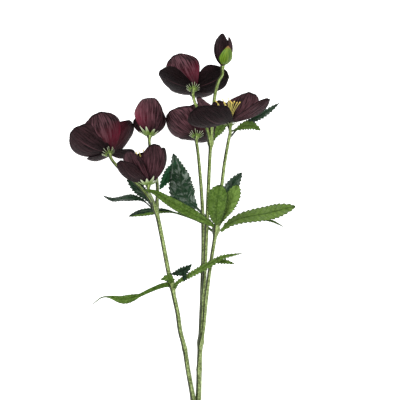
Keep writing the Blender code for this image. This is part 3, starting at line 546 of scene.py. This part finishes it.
def along(points, share):
    """The place at this share of the way along a smooth curve through the points."""
    spots = [Vector(point) for point in points]
    lengths = [(end - start).length for start, end in zip(spots, spots[1:])]
    rest = share * sum(lengths)
    index = 0
    while index < len(lengths) - 1 and rest > lengths[index]:
        rest -= lengths[index]
        index += 1
    step = min(rest / lengths[index], 1.0)
    before = spots[max(index - 1, 0)]
    start = spots[index]
    end = spots[index + 1]
    after = spots[min(index + 2, len(spots) - 1)]
    leaving = (end - before) / 2
    arriving = (after - start) / 2
    return (
        start * (2 * step**3 - 3 * step**2 + 1)
        + leaving * (step**3 - 2 * step**2 + step)
        + end * (3 * step**2 - 2 * step**3)
        + arriving * (step**3 - step**2)
    )


def direction(points, share, reach):
    """The way that the curve runs near this share of it."""
    before = along(points, max(share - reach, 0.0))
    return (along(points, min(share + reach, 1.0)) - before).normalized()


def between_values(values, share):
    """The value at this share of the way through an even list of values."""
    place = share * (len(values) - 1)
    index = min(int(place), len(values) - 2)
    return values[index] + (values[index + 1] - values[index]) * (place - index)


def route_length(points):
    """How long the straight stretches between the points are, all together."""
    return sum((Vector(end) - Vector(start)).length for start, end in zip(points, points[1:]))


def linked(name, data):
    """A new object of the scene with this data."""
    made = bpy.data.objects.new(name, data)
    bpy.context.scene.collection.objects.link(made)
    return made


# Meshes


def map_and_tint(bm):
    """The layers that hold a piece's own map and its tint."""
    maps = bm.loops.layers.uv
    tints = bm.verts.layers.float_color
    return maps.get("UVMap") or maps.new("UVMap"), tints.get("tint") or tints.new("tint")


def bent_grid(bm, columns, rows, place, tint):
    """A flat grid bent into a blade: its map runs from edge to edge and from foot to tip."""
    layer, colour = map_and_tint(bm)
    made = bmesh.ops.create_grid(bm, x_segments=columns, y_segments=rows, size=1.0)
    for vert in made["verts"]:
        side = vert.co.x
        share = (vert.co.y + 1) / 2
        for loop in vert.link_loops:
            loop[layer].uv = ((side + 1) / 2, share)
        vert[colour] = tint(side, share)
        vert.co = place(side, share)


def round_tube(bm, points, radii, sides, rings, swell=None, youth=(0.0, 1.0), across=None, flatness=1.0):
    """A stem through the points, closed at both ends. Its map runs round it and along it."""
    length = route_length(points)
    layer, colour = map_and_tint(bm)
    made = bmesh.ops.create_grid(bm, x_segments=sides, y_segments=rings, size=1.0)["verts"]
    frames = []
    right = across or Vector((1.0, 0.0, 0.0))
    for ring in range(rings + 1):
        share = ring / rings
        centre = along(points, share)
        ahead = direction(points, share, 0.01)
        right = (right - ahead * right.dot(ahead)).normalized()
        radius = between_values(radii, share)
        if swell:
            radius = swell(centre, radius)
        frames.append((centre, right, ahead.cross(right), radius))
    for vert in made:
        turn = (vert.co.x + 1) / 2
        ring = round((vert.co.y + 1) / 2 * rings)
        centre, right, up, radius = frames[ring]
        for loop in vert.link_loops:
            loop[layer].uv = (turn, ring / rings * length / STEM_MAP_LENGTH)
        vert[colour] = (youth[0] + (youth[1] - youth[0]) * ring / rings, 0.0, 0.0, 1.0)
        angle = 2 * math.pi * turn
        radius *= 1 + STEM_RIB * math.cos(STEM_RIBS * angle)
        vert.co = centre + right * (radius * math.cos(angle)) + up * (radius * flatness * math.sin(angle))
    bmesh.ops.remove_doubles(bm, verts=made, dist=WELD_DISTANCE)
    kept = [vert for vert in made if vert.is_valid]
    open_edges = {edge for vert in kept for edge in vert.link_edges if edge.is_boundary}
    bmesh.ops.holes_fill(bm, edges=list(open_edges), sides=0)


def piece_from(bm, name, materials, nodes):
    """The finished piece: in metres, shaded smooth, on the spray's body and in its nodes' place."""
    for vert in bm.verts:
        vert.co = placed(vert.co)
    mesh = bpy.data.meshes.new(name)
    bm.to_mesh(mesh)
    bm.free()
    mesh.shade_smooth()
    mesh.set_sharp_from_angle(angle=math.radians(SMOOTH_UP_TO))
    for finish in materials:
        mesh.materials.append(finish)
    piece = linked(name, mesh)
    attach(piece, BODY)
    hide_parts(*nodes)
    return piece


def thicken(piece, wall, other_face=0):
    """Gives an open blade its thickness. The face below may take the next material."""
    solid = piece.modifiers.new("Thickness", "SOLIDIFY")
    solid.thickness = wall * MM
    solid.offset = 0.0
    solid.material_offset = other_face


# Node helpers for the materials


class Finish:
    """A material being built, by methods that add nodes and return what they put out."""

    def __init__(self, name, roughness, specular=0.5):
        self.made = bpy.data.materials.new(name)
        self.made.use_nodes = True
        self.nodes = self.made.node_tree.nodes
        self.links = self.made.node_tree.links
        self.shader = self.nodes["Principled BSDF"]
        self.shader.inputs["Roughness"].default_value = roughness
        self.shader.inputs["Specular IOR Level"].default_value = specular

    def put(self, socket, value):
        """Links another node's output to the socket, or sets the socket to a constant."""
        if isinstance(value, bpy.types.NodeSocket):
            self.links.new(value, socket)
        else:
            socket.default_value = value

    def set(self, name, value):
        self.put(self.shader.inputs[name], value)

    def filled(self, kind, *values):
        """A new node whose inputs take these values in turn."""
        node = self.nodes.new("ShaderNode" + kind)
        for socket, value in zip(node.inputs, values):
            self.put(socket, value)
        return node

    def math(self, kind, *values):
        node = self.filled("Math", *values)
        node.operation = kind
        return node.outputs[0]

    def times(self, first, second):
        return self.math("MULTIPLY", first, second)

    def scaled(self, value, factor, offset):
        """The value times the factor, plus the offset."""
        return self.math("MULTIPLY_ADD", value, factor, offset)

    def off_middle(self, across):
        """How far across from the middle a point is: 0 there, and 1 at either edge."""
        return self.math("ABSOLUTE", self.scaled(across, 2.0, -1.0))

    def mix(self, share, first, second):
        node = self.nodes.new("ShaderNodeMix")
        node.data_type = "RGBA"
        self.put(node.inputs["Factor"], share)
        self.put(node.inputs["A"], first)
        self.put(node.inputs["B"], second)
        return node.outputs["Result"]

    def fade(self, value, low, high, to_low=0.0, to_high=1.0, smooth=True):
        """Runs from one share to the other while the value runs from low to high."""
        node = self.filled("MapRange", value, low, high, to_low, to_high)
        node.interpolation_type = "SMOOTHSTEP" if smooth else "LINEAR"
        return node.outputs[0]

    def own_map(self):
        """The piece's own map, as its run across and its run along."""
        node = self.filled("UVMap")
        node.uv_map = "UVMap"
        return self.filled("SeparateXYZ", node.outputs[0]).outputs[:2]

    def tint(self):
        """The piece's own tint, as three numbers."""
        node = self.filled("Attribute")
        node.attribute_name = "tint"
        return self.filled("SeparateColor", node.outputs["Color"]).outputs

    def join(self, x, y, z=0.0):
        return self.filled("CombineXYZ", x, y, z).outputs[0]

    def noise(self, vector=None, scale=1.0, detail=3.0, roughness=0.55, warp=0.0):
        """Soft random patches, on the object's own coordinates unless a place is given."""
        vector = vector or self.filled("TexCoord").outputs["Object"]
        node = self.filled("TexNoise", vector)
        node.inputs["Scale"].default_value = scale
        node.inputs["Detail"].default_value = detail
        node.inputs["Roughness"].default_value = roughness
        node.inputs["Distortion"].default_value = warp
        return node.outputs[0]

    def relief(self, *layers):
        """Raises each layer on the one before: where it is high, by how much and how strongly."""
        below = None
        for height, distance, strength in layers:
            node = self.nodes.new("ShaderNodeBump")
            node.inputs["Strength"].default_value = strength
            node.inputs["Distance"].default_value = distance
            self.put(node.inputs["Height"], height)
            if below:
                self.put(node.inputs["Normal"], below)
            below = node.outputs[0]
        self.set("Normal", below)


# Materials


def petal_finish():
    """Velvety near-black burgundy, striped foot to tip, black rim, painted highlights, red glow and
    shade.
    """
    finish = Finish("petal_velvet", PETAL_ROUGHNESS, PETAL_SPECULAR)
    across, run = finish.own_map()
    red, lit_stripes, seed = finish.tint()
    drift = finish.noise(finish.join(finish.times(across, 5.0), run, seed), 3.0, 2.0)
    lane = finish.scaled(across, STRIPES, finish.times(drift, STRIPE_DRIFT))
    lane = finish.scaled(seed, 50.0, lane)
    ribs = finish.noise(finish.join(lane, finish.times(run, 3.0), seed), 1.0, 1.0)
    ribs = finish.fade(ribs, 0.42, 0.6)
    patches = finish.fade(finish.noise(None, PATCH_SCALE, 4.0, 0.6), 0.4, 0.66)
    weave = finish.fade(finish.noise(None, WEAVE_SCALE, 2.0, 0.7), 0.42, 0.66)
    # Painted light and shade: each petal is lifted from black towards burgundy, in random patches, as
    # strongly as it is lit
    lit = finish.times(patches, finish.fade(lit_stripes, 0.0, 0.5, 0.4, 1.0))
    deep = finish.mix(lit, PETAL_BLACK, PETAL_BURGUNDY)
    # Painted highlight: mauve on the striping of lit petals
    shown = finish.times(ribs, finish.times(lit_stripes, 0.9))
    striped = finish.mix(shown, deep, PETAL_LIT_MAUVE)
    middle = finish.off_middle(across)
    # Painted highlight along the petal's middle fold, fading out before the tip
    fold = finish.fade(middle, 0.0, 0.045, 1.0, 0.0)
    fold = finish.times(fold, finish.fade(run, 0.45, 0.85, PETAL_FOLD_HIGHLIGHT, 0.0))
    fold_lit = finish.mix(fold, striped, PETAL_LIT_MAUVE)
    # Painted light: red glow where light shines through the petal, set by its tint at each edge
    glow = finish.times(red, finish.scaled(ribs, -0.3, 0.95))
    glowing = finish.mix(glow, fold_lit, PETAL_GLOW_RED)
    speck = finish.times(weave, finish.scaled(lit_stripes, 0.4, 0.14))
    speckled = finish.mix(speck, glowing, PETAL_SPECK)
    rim = finish.fade(finish.math("MAXIMUM", middle, run), 0.93, 1.0)
    # Painted shade, darker towards the petal's foot where the petals close round the heart
    foot = finish.fade(run, 0.02, 0.4, 0.55, 0.0)
    dark = finish.math("MAXIMUM", rim, foot)
    finish.set("Base Color", finish.mix(dark, speckled, PETAL_RIM))
    finish.set("Sheen Weight", PETAL_SHEEN)
    finish.set("Sheen Roughness", SHEEN_ROUGHNESS)
    finish.set("Sheen Tint", SHEEN_COLOUR)
    finish.relief((weave, 0.00008, 1.0), (ribs, 0.00035, 0.8))
    return finish.made


def leaf_finish(name, colours, roughness, specular, glint_strength):
    """Leaf tissue: mottled between veins, darker at the teeth, vein colour and painted shade along the
    fold, painted glints.
    """
    blade, pale, vein, edge_colour = colours
    finish = Finish(name, roughness, specular)
    across, run = finish.own_map()
    veins, paleness, ribbed = finish.tint()
    aside = finish.off_middle(across)
    count = finish.times(veins, MOST_VEINS)
    phase = finish.times(run, count)
    phase = finish.scaled(aside, -LEAF_VEIN_SLANT, phase)
    off_vein = finish.math("PINGPONG", phase, 0.5)
    side_vein = finish.fade(off_vein, 0.02, 0.13, 0.6, 0.0)
    # Darker along the midrib: the vein's own colour and painted shade in the fold, as strong as the
    # blade's midrib tint
    midrib = finish.fade(aside, 0.02, 0.14, ribbed, 0.0)
    lines = finish.math("MAXIMUM", side_vein, midrib)
    mottle = finish.fade(finish.noise(None, MOTTLE_SCALE, 4.0, 0.7), 0.4, 0.62)
    clouds = finish.fade(finish.noise(None, CLOUD_SCALE, 2.0), 0.35, 0.68)
    share = finish.scaled(clouds, 0.25, finish.times(mottle, 0.6))
    share = finish.math("ADD", share, finish.scaled(paleness, 0.7, -0.3))
    share = finish.fade(share, 0.0, 1.0, smooth=False)
    tissue = finish.mix(share, blade, pale)
    tissue = finish.mix(finish.fade(paleness, 1.1, 1.5), tissue, LEAF_FRESH)
    folds = finish.join(finish.times(across, 4.0), finish.times(phase, 1.1))
    crinkle = finish.fade(finish.noise(folds, 1.0, 3.0, 0.62, 1.0), 0.44, 0.68)
    # Painted highlight: glints of light on the wax, in crinkled streaks along the side veins
    painted_shine = finish.times(ribbed, finish.times(paleness, glint_strength))
    glinted_tissue = finish.mix(finish.times(crinkle, painted_shine), tissue, LEAF_PAINTED_GLINT)
    veined = finish.mix(finish.times(lines, 0.75), glinted_tissue, vein)
    edge = finish.fade(aside, 0.86, 1.0)
    tip = finish.fade(run, 0.93, 1.0)
    finish.set("Base Color", finish.mix(finish.math("MAXIMUM", edge, tip), veined, edge_colour))
    finish.relief((mottle, 0.0001, 1.0), (crinkle, 0.0008, 0.8), (lines, 0.00025, 0.7))
    return finish.made


def stem_finish():
    """Mottled green stem with painted shade down one side, paler and yellower towards the blooms."""
    finish = Finish("stem_green", 0.44, 0.3)
    around, run = finish.own_map()
    young = finish.tint()[0]
    angle = finish.times(around, 2 * math.pi)
    turn = finish.math("COSINE", angle)
    ring = finish.join(turn, finish.math("SINE", angle), finish.times(run, 0.3))
    wander = finish.noise(ring, 1.4, 2.0, 0.5)
    # Painted shade: the side of the stem away from the light is darkened, with a wandering edge
    side = finish.scaled(wander, 1.3, turn)
    shaded = finish.fade(side, 0.22, 0.5, 1.0, 0.0)
    streaks = finish.fade(finish.noise(ring, 3.6, 2.0, 0.5), 0.46, 0.56)
    mottles = finish.fade(finish.noise(None, MOTTLE_SCALE, 2.0, 0.6, 0.5), 0.46, 0.56)
    lit = finish.scaled(streaks, 0.45, finish.times(mottles, 0.55))
    mature = finish.mix(lit, STEM_GREEN, STEM_PALE)
    fresh = finish.mix(lit, STEM_FRESH_SHADE, STEM_FRESH)
    body = finish.mix(young, mature, fresh)
    finish.set("Base Color", finish.mix(finish.times(shaded, 0.94), body, STEM_SHADE))
    finish.relief((mottles, 0.0001, 1.0), (streaks, 0.0003, 0.8))
    return finish.made


def tipped_finish(name, body, tip, roughness, turn_at):
    """A small green or yellow piece whose colour changes towards its tip."""
    finish = Finish(name, roughness, 0.3)
    reach = finish.tint()[0]
    grain = finish.fade(finish.noise(None, GRAIN_SCALE, 3.0), 0.35, 0.7)
    share = finish.fade(reach, turn_at, 1.0)
    shade = finish.mix(grain, tuple(0.62 * part for part in body[:3]) + (1.0,), body)
    finish.set("Base Color", finish.mix(share, shade, tip))
    finish.relief((grain, 0.0001, 0.6))
    return finish.made


def sepal_finish():
    """The bud's bright green sepal, with lengthwise veins and a rusty tip."""
    finish = Finish("sepal_green", 0.42, 0.35)
    across, run = finish.own_map()
    lanes = finish.noise(finish.join(finish.times(across, 14.0), run), 1.0, 2.0)
    lanes = finish.fade(lanes, 0.4, 0.62)
    body = finish.mix(lanes, SEPAL_DEEP, SEPAL_PALE)
    tip = finish.fade(run, 0.8, 1.0)
    finish.set("Base Color", finish.mix(tip, body, SEPAL_TIP))
    finish.relief((lanes, 0.0002, 0.7))
    return finish.made


# Stems, cups and frills


def into_cup(carried):
    """The last two points of a stem that ends in a bloom's cup, along the bloom's own axis."""
    if carried is None:
        return []
    bloom = BUD if carried == "bud" else BLOOMS[carried]
    return on_axis(bloom, (-PEDICEL_STRAIGHT, -PEDICEL_SUNK))


def swollen(centre, radius):
    """A stem's radius, thicker near each place where it forks or carries leaves."""
    for place, across, length in STEM_NODES.values():
        off = (centre - Vector(place)).length
        radius += max(across - radius, 0.0) * math.exp(-((off / length) ** 2))
    return radius


def stem_tubes(bm):
    """The cut stem, the stems that rise from it and the pedicels that branch off them."""
    round_tube(bm, CUT_STEM, CUT_RADII, STEM_SIDES, CUT_RINGS, swollen, CUT_YOUTH)
    for points, radii, youth, carried in STEMS:
        route = points + into_cup(carried)
        rings = round(route_length(route) / STEM_RING_STEP)
        round_tube(bm, route, radii, STEM_SIDES, rings, swollen, youth)


def cup(bm, bloom, radius):
    """The green cup below a bloom, which widens from the stem to the petals."""
    top = -HEART_THICKNESS / 2 - SEAT_GAP
    route = on_axis(bloom, [top - CUP_DEPTH * share for share in CUP_STEPS])
    radii = [CUP_FOOT_RADIUS] + [radius * share for share in CUP_PROFILE]
    round_tube(bm, route, radii, STEM_SIDES, CUP_RINGS, None, CUP_YOUTH)


def spike_route(turned, turn, length, lean):
    """A frill spike's route: out from the cup, and bent a little towards the petals."""
    out = outward(turn)
    foot = out * (CUP_RADIUS * FRILL_FOOT_SHARE)
    foot.z = -HEART_THICKNESS / 2 - SEAT_GAP - FRILL_DROP
    spots = []
    for step in SPIKE_STEPS:
        ahead = leaning(out, math.radians(lean - SPIKE_BEND * step))
        spots.append(turned @ (foot + ahead * (length * step)))
    return spots


def frill(bm, bloom, chance):
    """The pointed green spikes that stand out round a bloom's cup, behind its petals."""
    turned = facing(bloom)
    count, usual_length, half_width, lean = bloom["frill"]
    for index in range(count):
        turn = 2 * math.pi * (index + 0.5) / count
        turn += chance.uniform(-SPIKE_STRAY, SPIKE_STRAY)
        length = usual_length * chance.uniform(*SPIKE_LENGTHS)
        if bloom["faces"][2] < FACING_AWAY:
            length *= 1 - SPIKE_UNEVEN - SPIKE_UNEVEN * math.sin(turn)
        route = spike_route(turned, turn, length, lean)
        if half_width > BROAD_SPIKE:
            leaflet(bm, route, half_width, turned)
        else:
            radii = [radius * half_width / SPIKE_HALF_WIDTH for radius in SPIKE_RADII]
            round_tube(bm, route, radii, *THIN_GRID)


def leaflet(bm, route, half_width, turned):
    """A broad frill spike: a flat pointed leaflet that stands across its bloom's axis."""
    axis = turned.to_3x3() @ Vector((0, 0, 1))
    aside = (route[-1] - route[0]).cross(axis).normalized()
    widths = [max(half_width * share, LEAFLET_TIP) for share in LEAFLET_PROFILE]
    round_tube(bm, route, widths, *LEAFLET_GRID, across=aside, flatness=LEAFLET_FLATNESS)


def stem_piece(materials):
    """All the green of the stem system: stems, cups and, in the second material, the frills."""
    bm = bmesh.new()
    stem_tubes(bm)
    for bloom in BLOOMS.values():
        cup(bm, bloom, CUP_RADIUS)
    cup(bm, BUD, BUD_CUP_RADIUS)
    green = len(bm.faces)
    chance = random.Random(FRILL_SEED)
    for bloom in BLOOMS.values():
        frill(bm, bloom, chance)
    bm.faces.ensure_lookup_table()
    for face in bm.faces[green:]:
        face.material_index = 1
    bmesh.ops.recalc_face_normals(bm, faces=bm.faces)
    piece_from(bm, "stems_and_frills", materials, ["stem_system"])


# Petals


def petal_width(share, style):
    """A petal's half width at this share of its length, as a share of its widest."""
    widest = style["widest"]
    if share < widest:
        return PETAL_FOOT_WIDTH + (1 - PETAL_FOOT_WIDTH) * math.sin(math.pi / 2 * share / widest)
    return 1 - (1 - style["tip_width"]) * ((share - widest) / (1 - widest)) ** 2


def petal_point(petal, style, ruffled, side, share):
    """A petal's point in its bloom's frame, with the ruffles and pleats of a real one."""
    turn, slope_foot, slope_tip, length, half_width, curl, twist = petal
    nick = ruffled * PETAL_NICK * math.sin(PETAL_NICKS * side + turn) * share**3
    reach = share * (1 - style["tip_round"] * side**2 * share**2 - nick)
    start = math.radians(slope_foot)
    end = start + math.radians(slope_tip - slope_foot) * reach
    bend = math.radians(slope_tip - slope_foot)
    out = PETAL_FOOT_OUT + style["stand_off"]
    out += length * (math.cos(start) - math.cos(end)) / bend
    up = length * (math.sin(end) - math.sin(start)) / bend
    inward = Vector((-math.cos(end), 0.0, math.sin(end)))
    angle = half_width * petal_width(share, style) * side / curl
    across = curl * math.sin(angle)
    lift = curl * (1 - math.cos(angle))
    lift -= across * math.sin(math.radians(style["lap"] + twist * share**PETAL_TWISTS_AT))
    lift += style["wave"] * math.sin(PETAL_WAVES * share + turn) * side**2 * share
    rim = max(abs(side), share) ** 5
    ruffle = math.sin(PETAL_RUFFLES * (side + 0.6 * share) + turn)
    pleat = math.cos(math.pi * PETAL_PLEATS * side + 1.4 * math.sin(5 * share + turn))
    lift += ruffled * (PETAL_RUFFLE * rim * ruffle + PETAL_PLEAT * pleat * share)
    point = Vector((out, across, up)) + inward * lift
    return Matrix.Rotation(math.radians(turn), 3, "Z") @ point


def petal_blade(bm, turned, petal, style, ruffled, tints, seed):
    """One petal, with its tint: its painted red glow at this point, how strongly it is painted lit, and
    its own number.
    """
    minus_red, plus_red, lit_stripes = tints

    def place(side, share):
        return turned @ petal_point(petal, style, ruffled, side, share)

    def tint(side, share):
        beside = (side + 1) / 2
        high = min(1.0, max(0.0, RED_HIGH[0] * (RED_HIGH[1] - share)))
        low = min(1.0, max(0.0, RED_LOW[0] * (RED_LOW[1] - share)))
        red = minus_red * high * (1 - beside) ** RED_REACH + plus_red * low * beside**RED_REACH
        return (red, lit_stripes, seed, 1.0)

    bent_grid(bm, *PETAL_GRID, place, tint)


def petal_piece(name, bloom, style, ruffled, finish):
    """The petals of a bloom or of the bud, as one piece."""
    bm = bmesh.new()
    turned = facing(bloom)
    for index, (petal, tints) in enumerate(zip(bloom["petals"], TINTS[name])):
        petal_blade(bm, turned, petal, style, ruffled, tints, (index + 0.5) / MOST_PETALS)
    piece = piece_from(bm, name + "_velvet_petals", [finish], [name + "_petals"])
    thicken(piece, PETAL_WALL)


def heart_piece(name, bloom, radius, finish):
    """The disc in which the petals of a bloom meet, rounded at its rim."""
    bm = bmesh.new()
    half = HEART_THICKNESS / 2
    route = on_axis(bloom, (-half, -half / 3, half / 3, half))
    round_tube(bm, route, [share * radius for share in HEART_PROFILE], STEM_SIDES, HEART_RINGS)
    bmesh.ops.recalc_face_normals(bm, faces=bm.faces)
    piece_from(bm, name + "_heart", [finish], [name + "_petals"])


# Stamens


def anther(bm, turned, tip, ahead, chance):
    """One pollen-dusted anther at a filament's tip."""
    spin = ahead.to_track_quat("Z", "X").to_matrix().to_4x4()
    spin.translation = tip
    size = chance.uniform(0.85, 1.15)
    scale = Matrix.Diagonal((ANTHER[0] * size, ANTHER[1] * size, ANTHER[2] * size, 1.0))
    made = bmesh.ops.create_icosphere(bm, subdivisions=2, radius=1.0, matrix=turned @ spin @ scale)
    colour = bm.verts.layers.float_color.get("tint")
    for vert in made["verts"]:
        vert[colour] = (1.0, 0.0, 0.0, 1.0)


def filament(bm, turned, turn, lean, foot_out, reach, chance):
    """One filament, which leans further out towards its tip, with its anther."""
    out = outward(turn)
    foot = out * foot_out
    foot.z = STAMEN_LOW + STAMEN_FOOT_DEPTH / 2
    spots = []
    for step in FILAMENT_STEPS:
        slope = lean * (FILAMENT_LEAN[0] + FILAMENT_LEAN[1] * step)
        spots.append(foot + leaning(out, slope) * (reach * step))
    route = [turned @ spot for spot in spots]
    round_tube(bm, route, FILAMENT_RADII, *THIN_GRID, youth=(0.0, 0.5))
    anther(bm, turned, spots[-1], (spots[-1] - spots[-2]).normalized(), chance)


def nectary(bm, turned, turn):
    """One of the small horns that ring the filaments' foot."""
    out = outward(turn)
    foot = out * (STAMEN_FOOT_RADIUS * 0.8) + Vector((0, 0, STAMEN_LOW + STAMEN_FOOT_DEPTH / 2))
    tip = foot + out * NECTARY_LEAN + Vector((0, 0, NECTARY_LENGTH))
    middle = (foot + tip) / 2 + out * NECTARY_BEND
    round_tube(bm, [turned @ spot for spot in (foot, middle, tip)], NECTARY_RADII, *NECTARY_GRID)


def stamen_piece(name, bloom, materials):
    """Filaments, each with its anther, and a ring of nectaries round their foot."""
    count, length, spread = bloom["stamens"]
    chance = random.Random(name)
    turned = facing(bloom)
    bm = bmesh.new()
    foot_route = on_axis(bloom, [STAMEN_LOW + STAMEN_FOOT_DEPTH * step for step in (0.0, 0.5, 1.0)])
    foot_radii = [STAMEN_FOOT_RADIUS * share for share in STAMEN_FOOT_PROFILE]
    round_tube(bm, foot_route, foot_radii, *STAMEN_FOOT_GRID)
    widest = math.radians(spread)
    for index in range(count):
        lean = widest * math.sqrt((index + 0.5) / count)
        reach = length * (LONG_STAMEN if index % 5 == 2 else chance.uniform(*STAMEN_LENGTHS))
        foot_out = STAMEN_FOOT_RADIUS * STAMEN_FEET_WITHIN * lean / widest
        filament(bm, turned, GOLDEN_ANGLE * index, lean, foot_out, reach, chance)
    for index in range(NECTARIES):
        nectary(bm, turned, 2 * math.pi * index / NECTARIES)
    bmesh.ops.recalc_face_normals(bm, faces=bm.faces)
    piece_from(bm, name + "_gold_stamens", materials, [name + "_stamens"])


# Leaves


def leaf_width(share, leaf):
    """A leaf's half width at this share of its length, as a share of its widest."""
    stalk = leaf["stalk"]
    widest = leaf["widest"]
    foot_taper, tip_taper = leaf["ends"]
    if share < stalk:
        return 0.0
    if share < widest:
        return math.sin(math.pi / 2 * (share - stalk) / (widest - stalk)) ** foot_taper
    return max(0.0, math.cos(math.pi / 2 * (share - widest) / (1 - widest))) ** tip_taper


def leaf_point(leaf, side, share, veins, tooth):
    """A leaf's point, with its midrib sunk and the tissue raised between its side veins."""
    route = leaf["route"]
    centre = along(route, share)
    ahead = direction(route, share, 0.02)
    across = ahead.cross(Vector((0, 0, 1))).normalized()
    roll = math.radians(between_values(leaf["roll"], share))
    across.rotate(Matrix.Rotation(roll, 3, ahead))
    up = across.cross(ahead)
    least = leaf["foot"] + (LEAF_TIP_WIDTH - leaf["foot"]) * share
    spread = leaf["half_width"] * leaf_width(share, leaf)
    half_width = max(least, spread)
    lift = half_width * (leaf["fold"] * abs(side) + LEAF_WAVE * math.sin(LEAF_WAVES * share) * side)
    blade = min(1.0, spread / LEAF_FULL_FROM)
    between = abs(math.sin(math.pi * (share * veins - LEAF_VEIN_SLANT * abs(side))))
    lift += blade * LEAF_QUILT * between * math.sin(math.pi * min(1.0, abs(side)))
    lift -= blade * LEAF_MIDRIB * math.exp(-((side / LEAF_MIDRIB_REACH) ** 2))
    half_width += blade * tooth * abs(side) ** 6
    return centre + across * (half_width * side) + up * lift


def leaf_blade(bm, leaf):
    """One toothed blade, with its tint: how many side veins, how pale, and its painted midrib shade and
    glints.
    """
    length = route_length(leaf["route"])
    pitch, depth = leaf["teeth"]
    teeth = max(4, round(length / pitch))
    veins = max(3, round(length / LEAF_VEIN_PITCH))

    def place(side, share):
        saw = (share * teeth) % 1.0
        tooth = 2 * min(saw / TOOTH_TOP, (1 - saw) / (1 - TOOTH_TOP)) - 1 if 0 < share < 1 else 0.0
        return leaf_point(leaf, side, share, veins, depth * tooth)

    def tint(side, share):
        return (veins / MOST_VEINS, leaf["paleness"], leaf["midrib"], 1.0)

    bent_grid(bm, LEAF_COLUMNS, teeth * LEAF_ROWS_A_TOOTH, place, tint)


def met_by_foot(route):
    """The route with its foot drawn back until the blade meets the stem that carries it."""
    foot = Vector(route[0])
    back = (foot - Vector(route[1])).normalized()
    return [tuple(foot + back * LEAF_FOOT_REACH)] + list(route[1:])


def show_under_face(bm, at_foot, at_tip):
    """Lays the pale face up along one edge: over these shares of the width at foot and tip."""
    layer = bm.loops.layers.uv["UVMap"]
    for face in bm.faces:
        across, run = face.loops[0][layer].uv
        if across < at_foot + (at_tip - at_foot) * run:
            face.material_index = 1


def leaf_piece(name, leaf, upper, under):
    """A leaf with its lobe. A dark leaf shows its upper face, and a light one its under face."""
    bm = bmesh.new()
    leaf = dict(USUAL_LEAF, **leaf)
    leaf["route"] = met_by_foot(leaf["route"])
    leaf_blade(bm, leaf)
    if "lobe" in leaf:
        leaf_blade(bm, {**leaf, **USUAL_LOBE, **leaf["lobe"], "route": leaf["lobe_route"]})
    show_under_face(bm, *leaf["turned"])
    faces = [upper, under] if leaf["dark"] else [under, upper]
    piece = piece_from(bm, name + "_veined", faces, [name])
    thicken(piece, LEAF_WALL, other_face=1)


# The studio


def floor():
    """The plain pale surface that the spray lies on."""
    bm = bmesh.new()
    bmesh.ops.create_grid(bm, x_segments=1, y_segments=1, size=FLOOR_HALF)
    mesh = bpy.data.meshes.new("studio_floor")
    bm.to_mesh(mesh)
    bm.free()
    finish = Finish("studio_floor", 0.9, 0.1)
    finish.set("Base Color", FLOOR_COLOUR)
    finish.set("Emission Color", WHITE)
    finish.set("Emission Strength", FLOOR_GLOW)
    mesh.materials.append(finish.made)
    surface = linked("studio_floor", mesh)
    surface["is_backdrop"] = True


def soft_light(name, place, size, power):
    """A round soft light that faces the middle of the spray."""
    lamp = bpy.data.lights.new(name, "AREA")
    lamp.shape = "DISK"
    lamp.size = size
    lamp.energy = power
    light = linked(name, lamp)
    light.location = place
    light.rotation_euler = (-Vector(place)).to_track_quat("-Z", "Y").to_euler()


def studio():
    """The floor, an even pale surround and two soft lights."""
    floor()
    world = bpy.data.worlds.new("studio")
    world.use_nodes = True
    backdrop = world.node_tree.nodes["Background"]
    backdrop.inputs["Color"].default_value = WHITE
    backdrop.inputs["Strength"].default_value = WORLD_LIGHT
    bpy.context.scene.world = world
    for name, (place, size, power) in LIGHTS.items():
        soft_light(name, place, size, power)
    bpy.context.scene.view_settings.view_transform = "Standard"


def camera():
    """Looks straight down on the spray, from far enough for the photograph's flat perspective."""
    lens = bpy.data.cameras.new("Camera")
    lens.sensor_width = CAMERA_SENSOR
    lens.lens = CAMERA_SENSOR * (CAMERA_HEIGHT - TRUE_SIZE_HEIGHT) / VIEW_WIDTH
    lens.clip_end = 50.0
    viewer = linked("Camera", lens)
    middle = placed(VIEW_MIDDLE)
    viewer.location = (middle.x, middle.y, CAMERA_HEIGHT)
    bpy.context.scene.camera = viewer


def blooms(velvet):
    """The six open blooms, each with its petals, its heart and its stamens."""
    gold = tipped_finish("stamen_gold", FILAMENT_COLOUR, ANTHER_COLOUR, 0.55, 0.55)
    for name, bloom in BLOOMS.items():
        petal_piece(name, bloom, OPEN_PETAL, 1.0, velvet)
        heart_piece(name, bloom, HEART_RADIUS, velvet)
        stamen_piece(name, bloom, [gold])


def bud(velvet):
    """The closed bud, with the green sepal over its petals."""
    petal_piece("bud", BUD, BUD_PETAL, BUD_RUFFLED, velvet)
    heart_piece("bud", BUD, BUD_HEART_RADIUS, velvet)
    bm = bmesh.new()
    petal_blade(bm, facing(BUD), BUD_SEPAL, SEPAL_STYLE, 0.0, (0, 0, 0), 0.5)
    thicken(piece_from(bm, "bud_sepal_veined", [sepal_finish()], ["bud_sepal"]), PETAL_WALL)


def leaves():
    """Every leaf and bract."""
    upper = leaf_finish("leaf_upper_face", LEAF_DARK, 0.38, 0.17, 1.1)
    under = leaf_finish("leaf_under_face", LEAF_LIGHT, 0.5, 0.16, 0.1)
    for name, leaf in LEAVES.items():
        leaf_piece(name, leaf, upper, under)


def main():
    """Makes the studio and the whole spray, and measures the box of the solids and of the scene."""
    camera()
    studio()
    velvet = petal_finish()
    stem_piece([stem_finish(), tipped_finish("frill_green", FRILL_GREEN, FRILL_TIP_COLOUR, 0.5, 0.32)])
    blooms(velvet)
    bud(velvet)
    leaves()
    boxes = [[list(corner) for corner in box] for box in (SOLIDS_BOX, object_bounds())]


main()
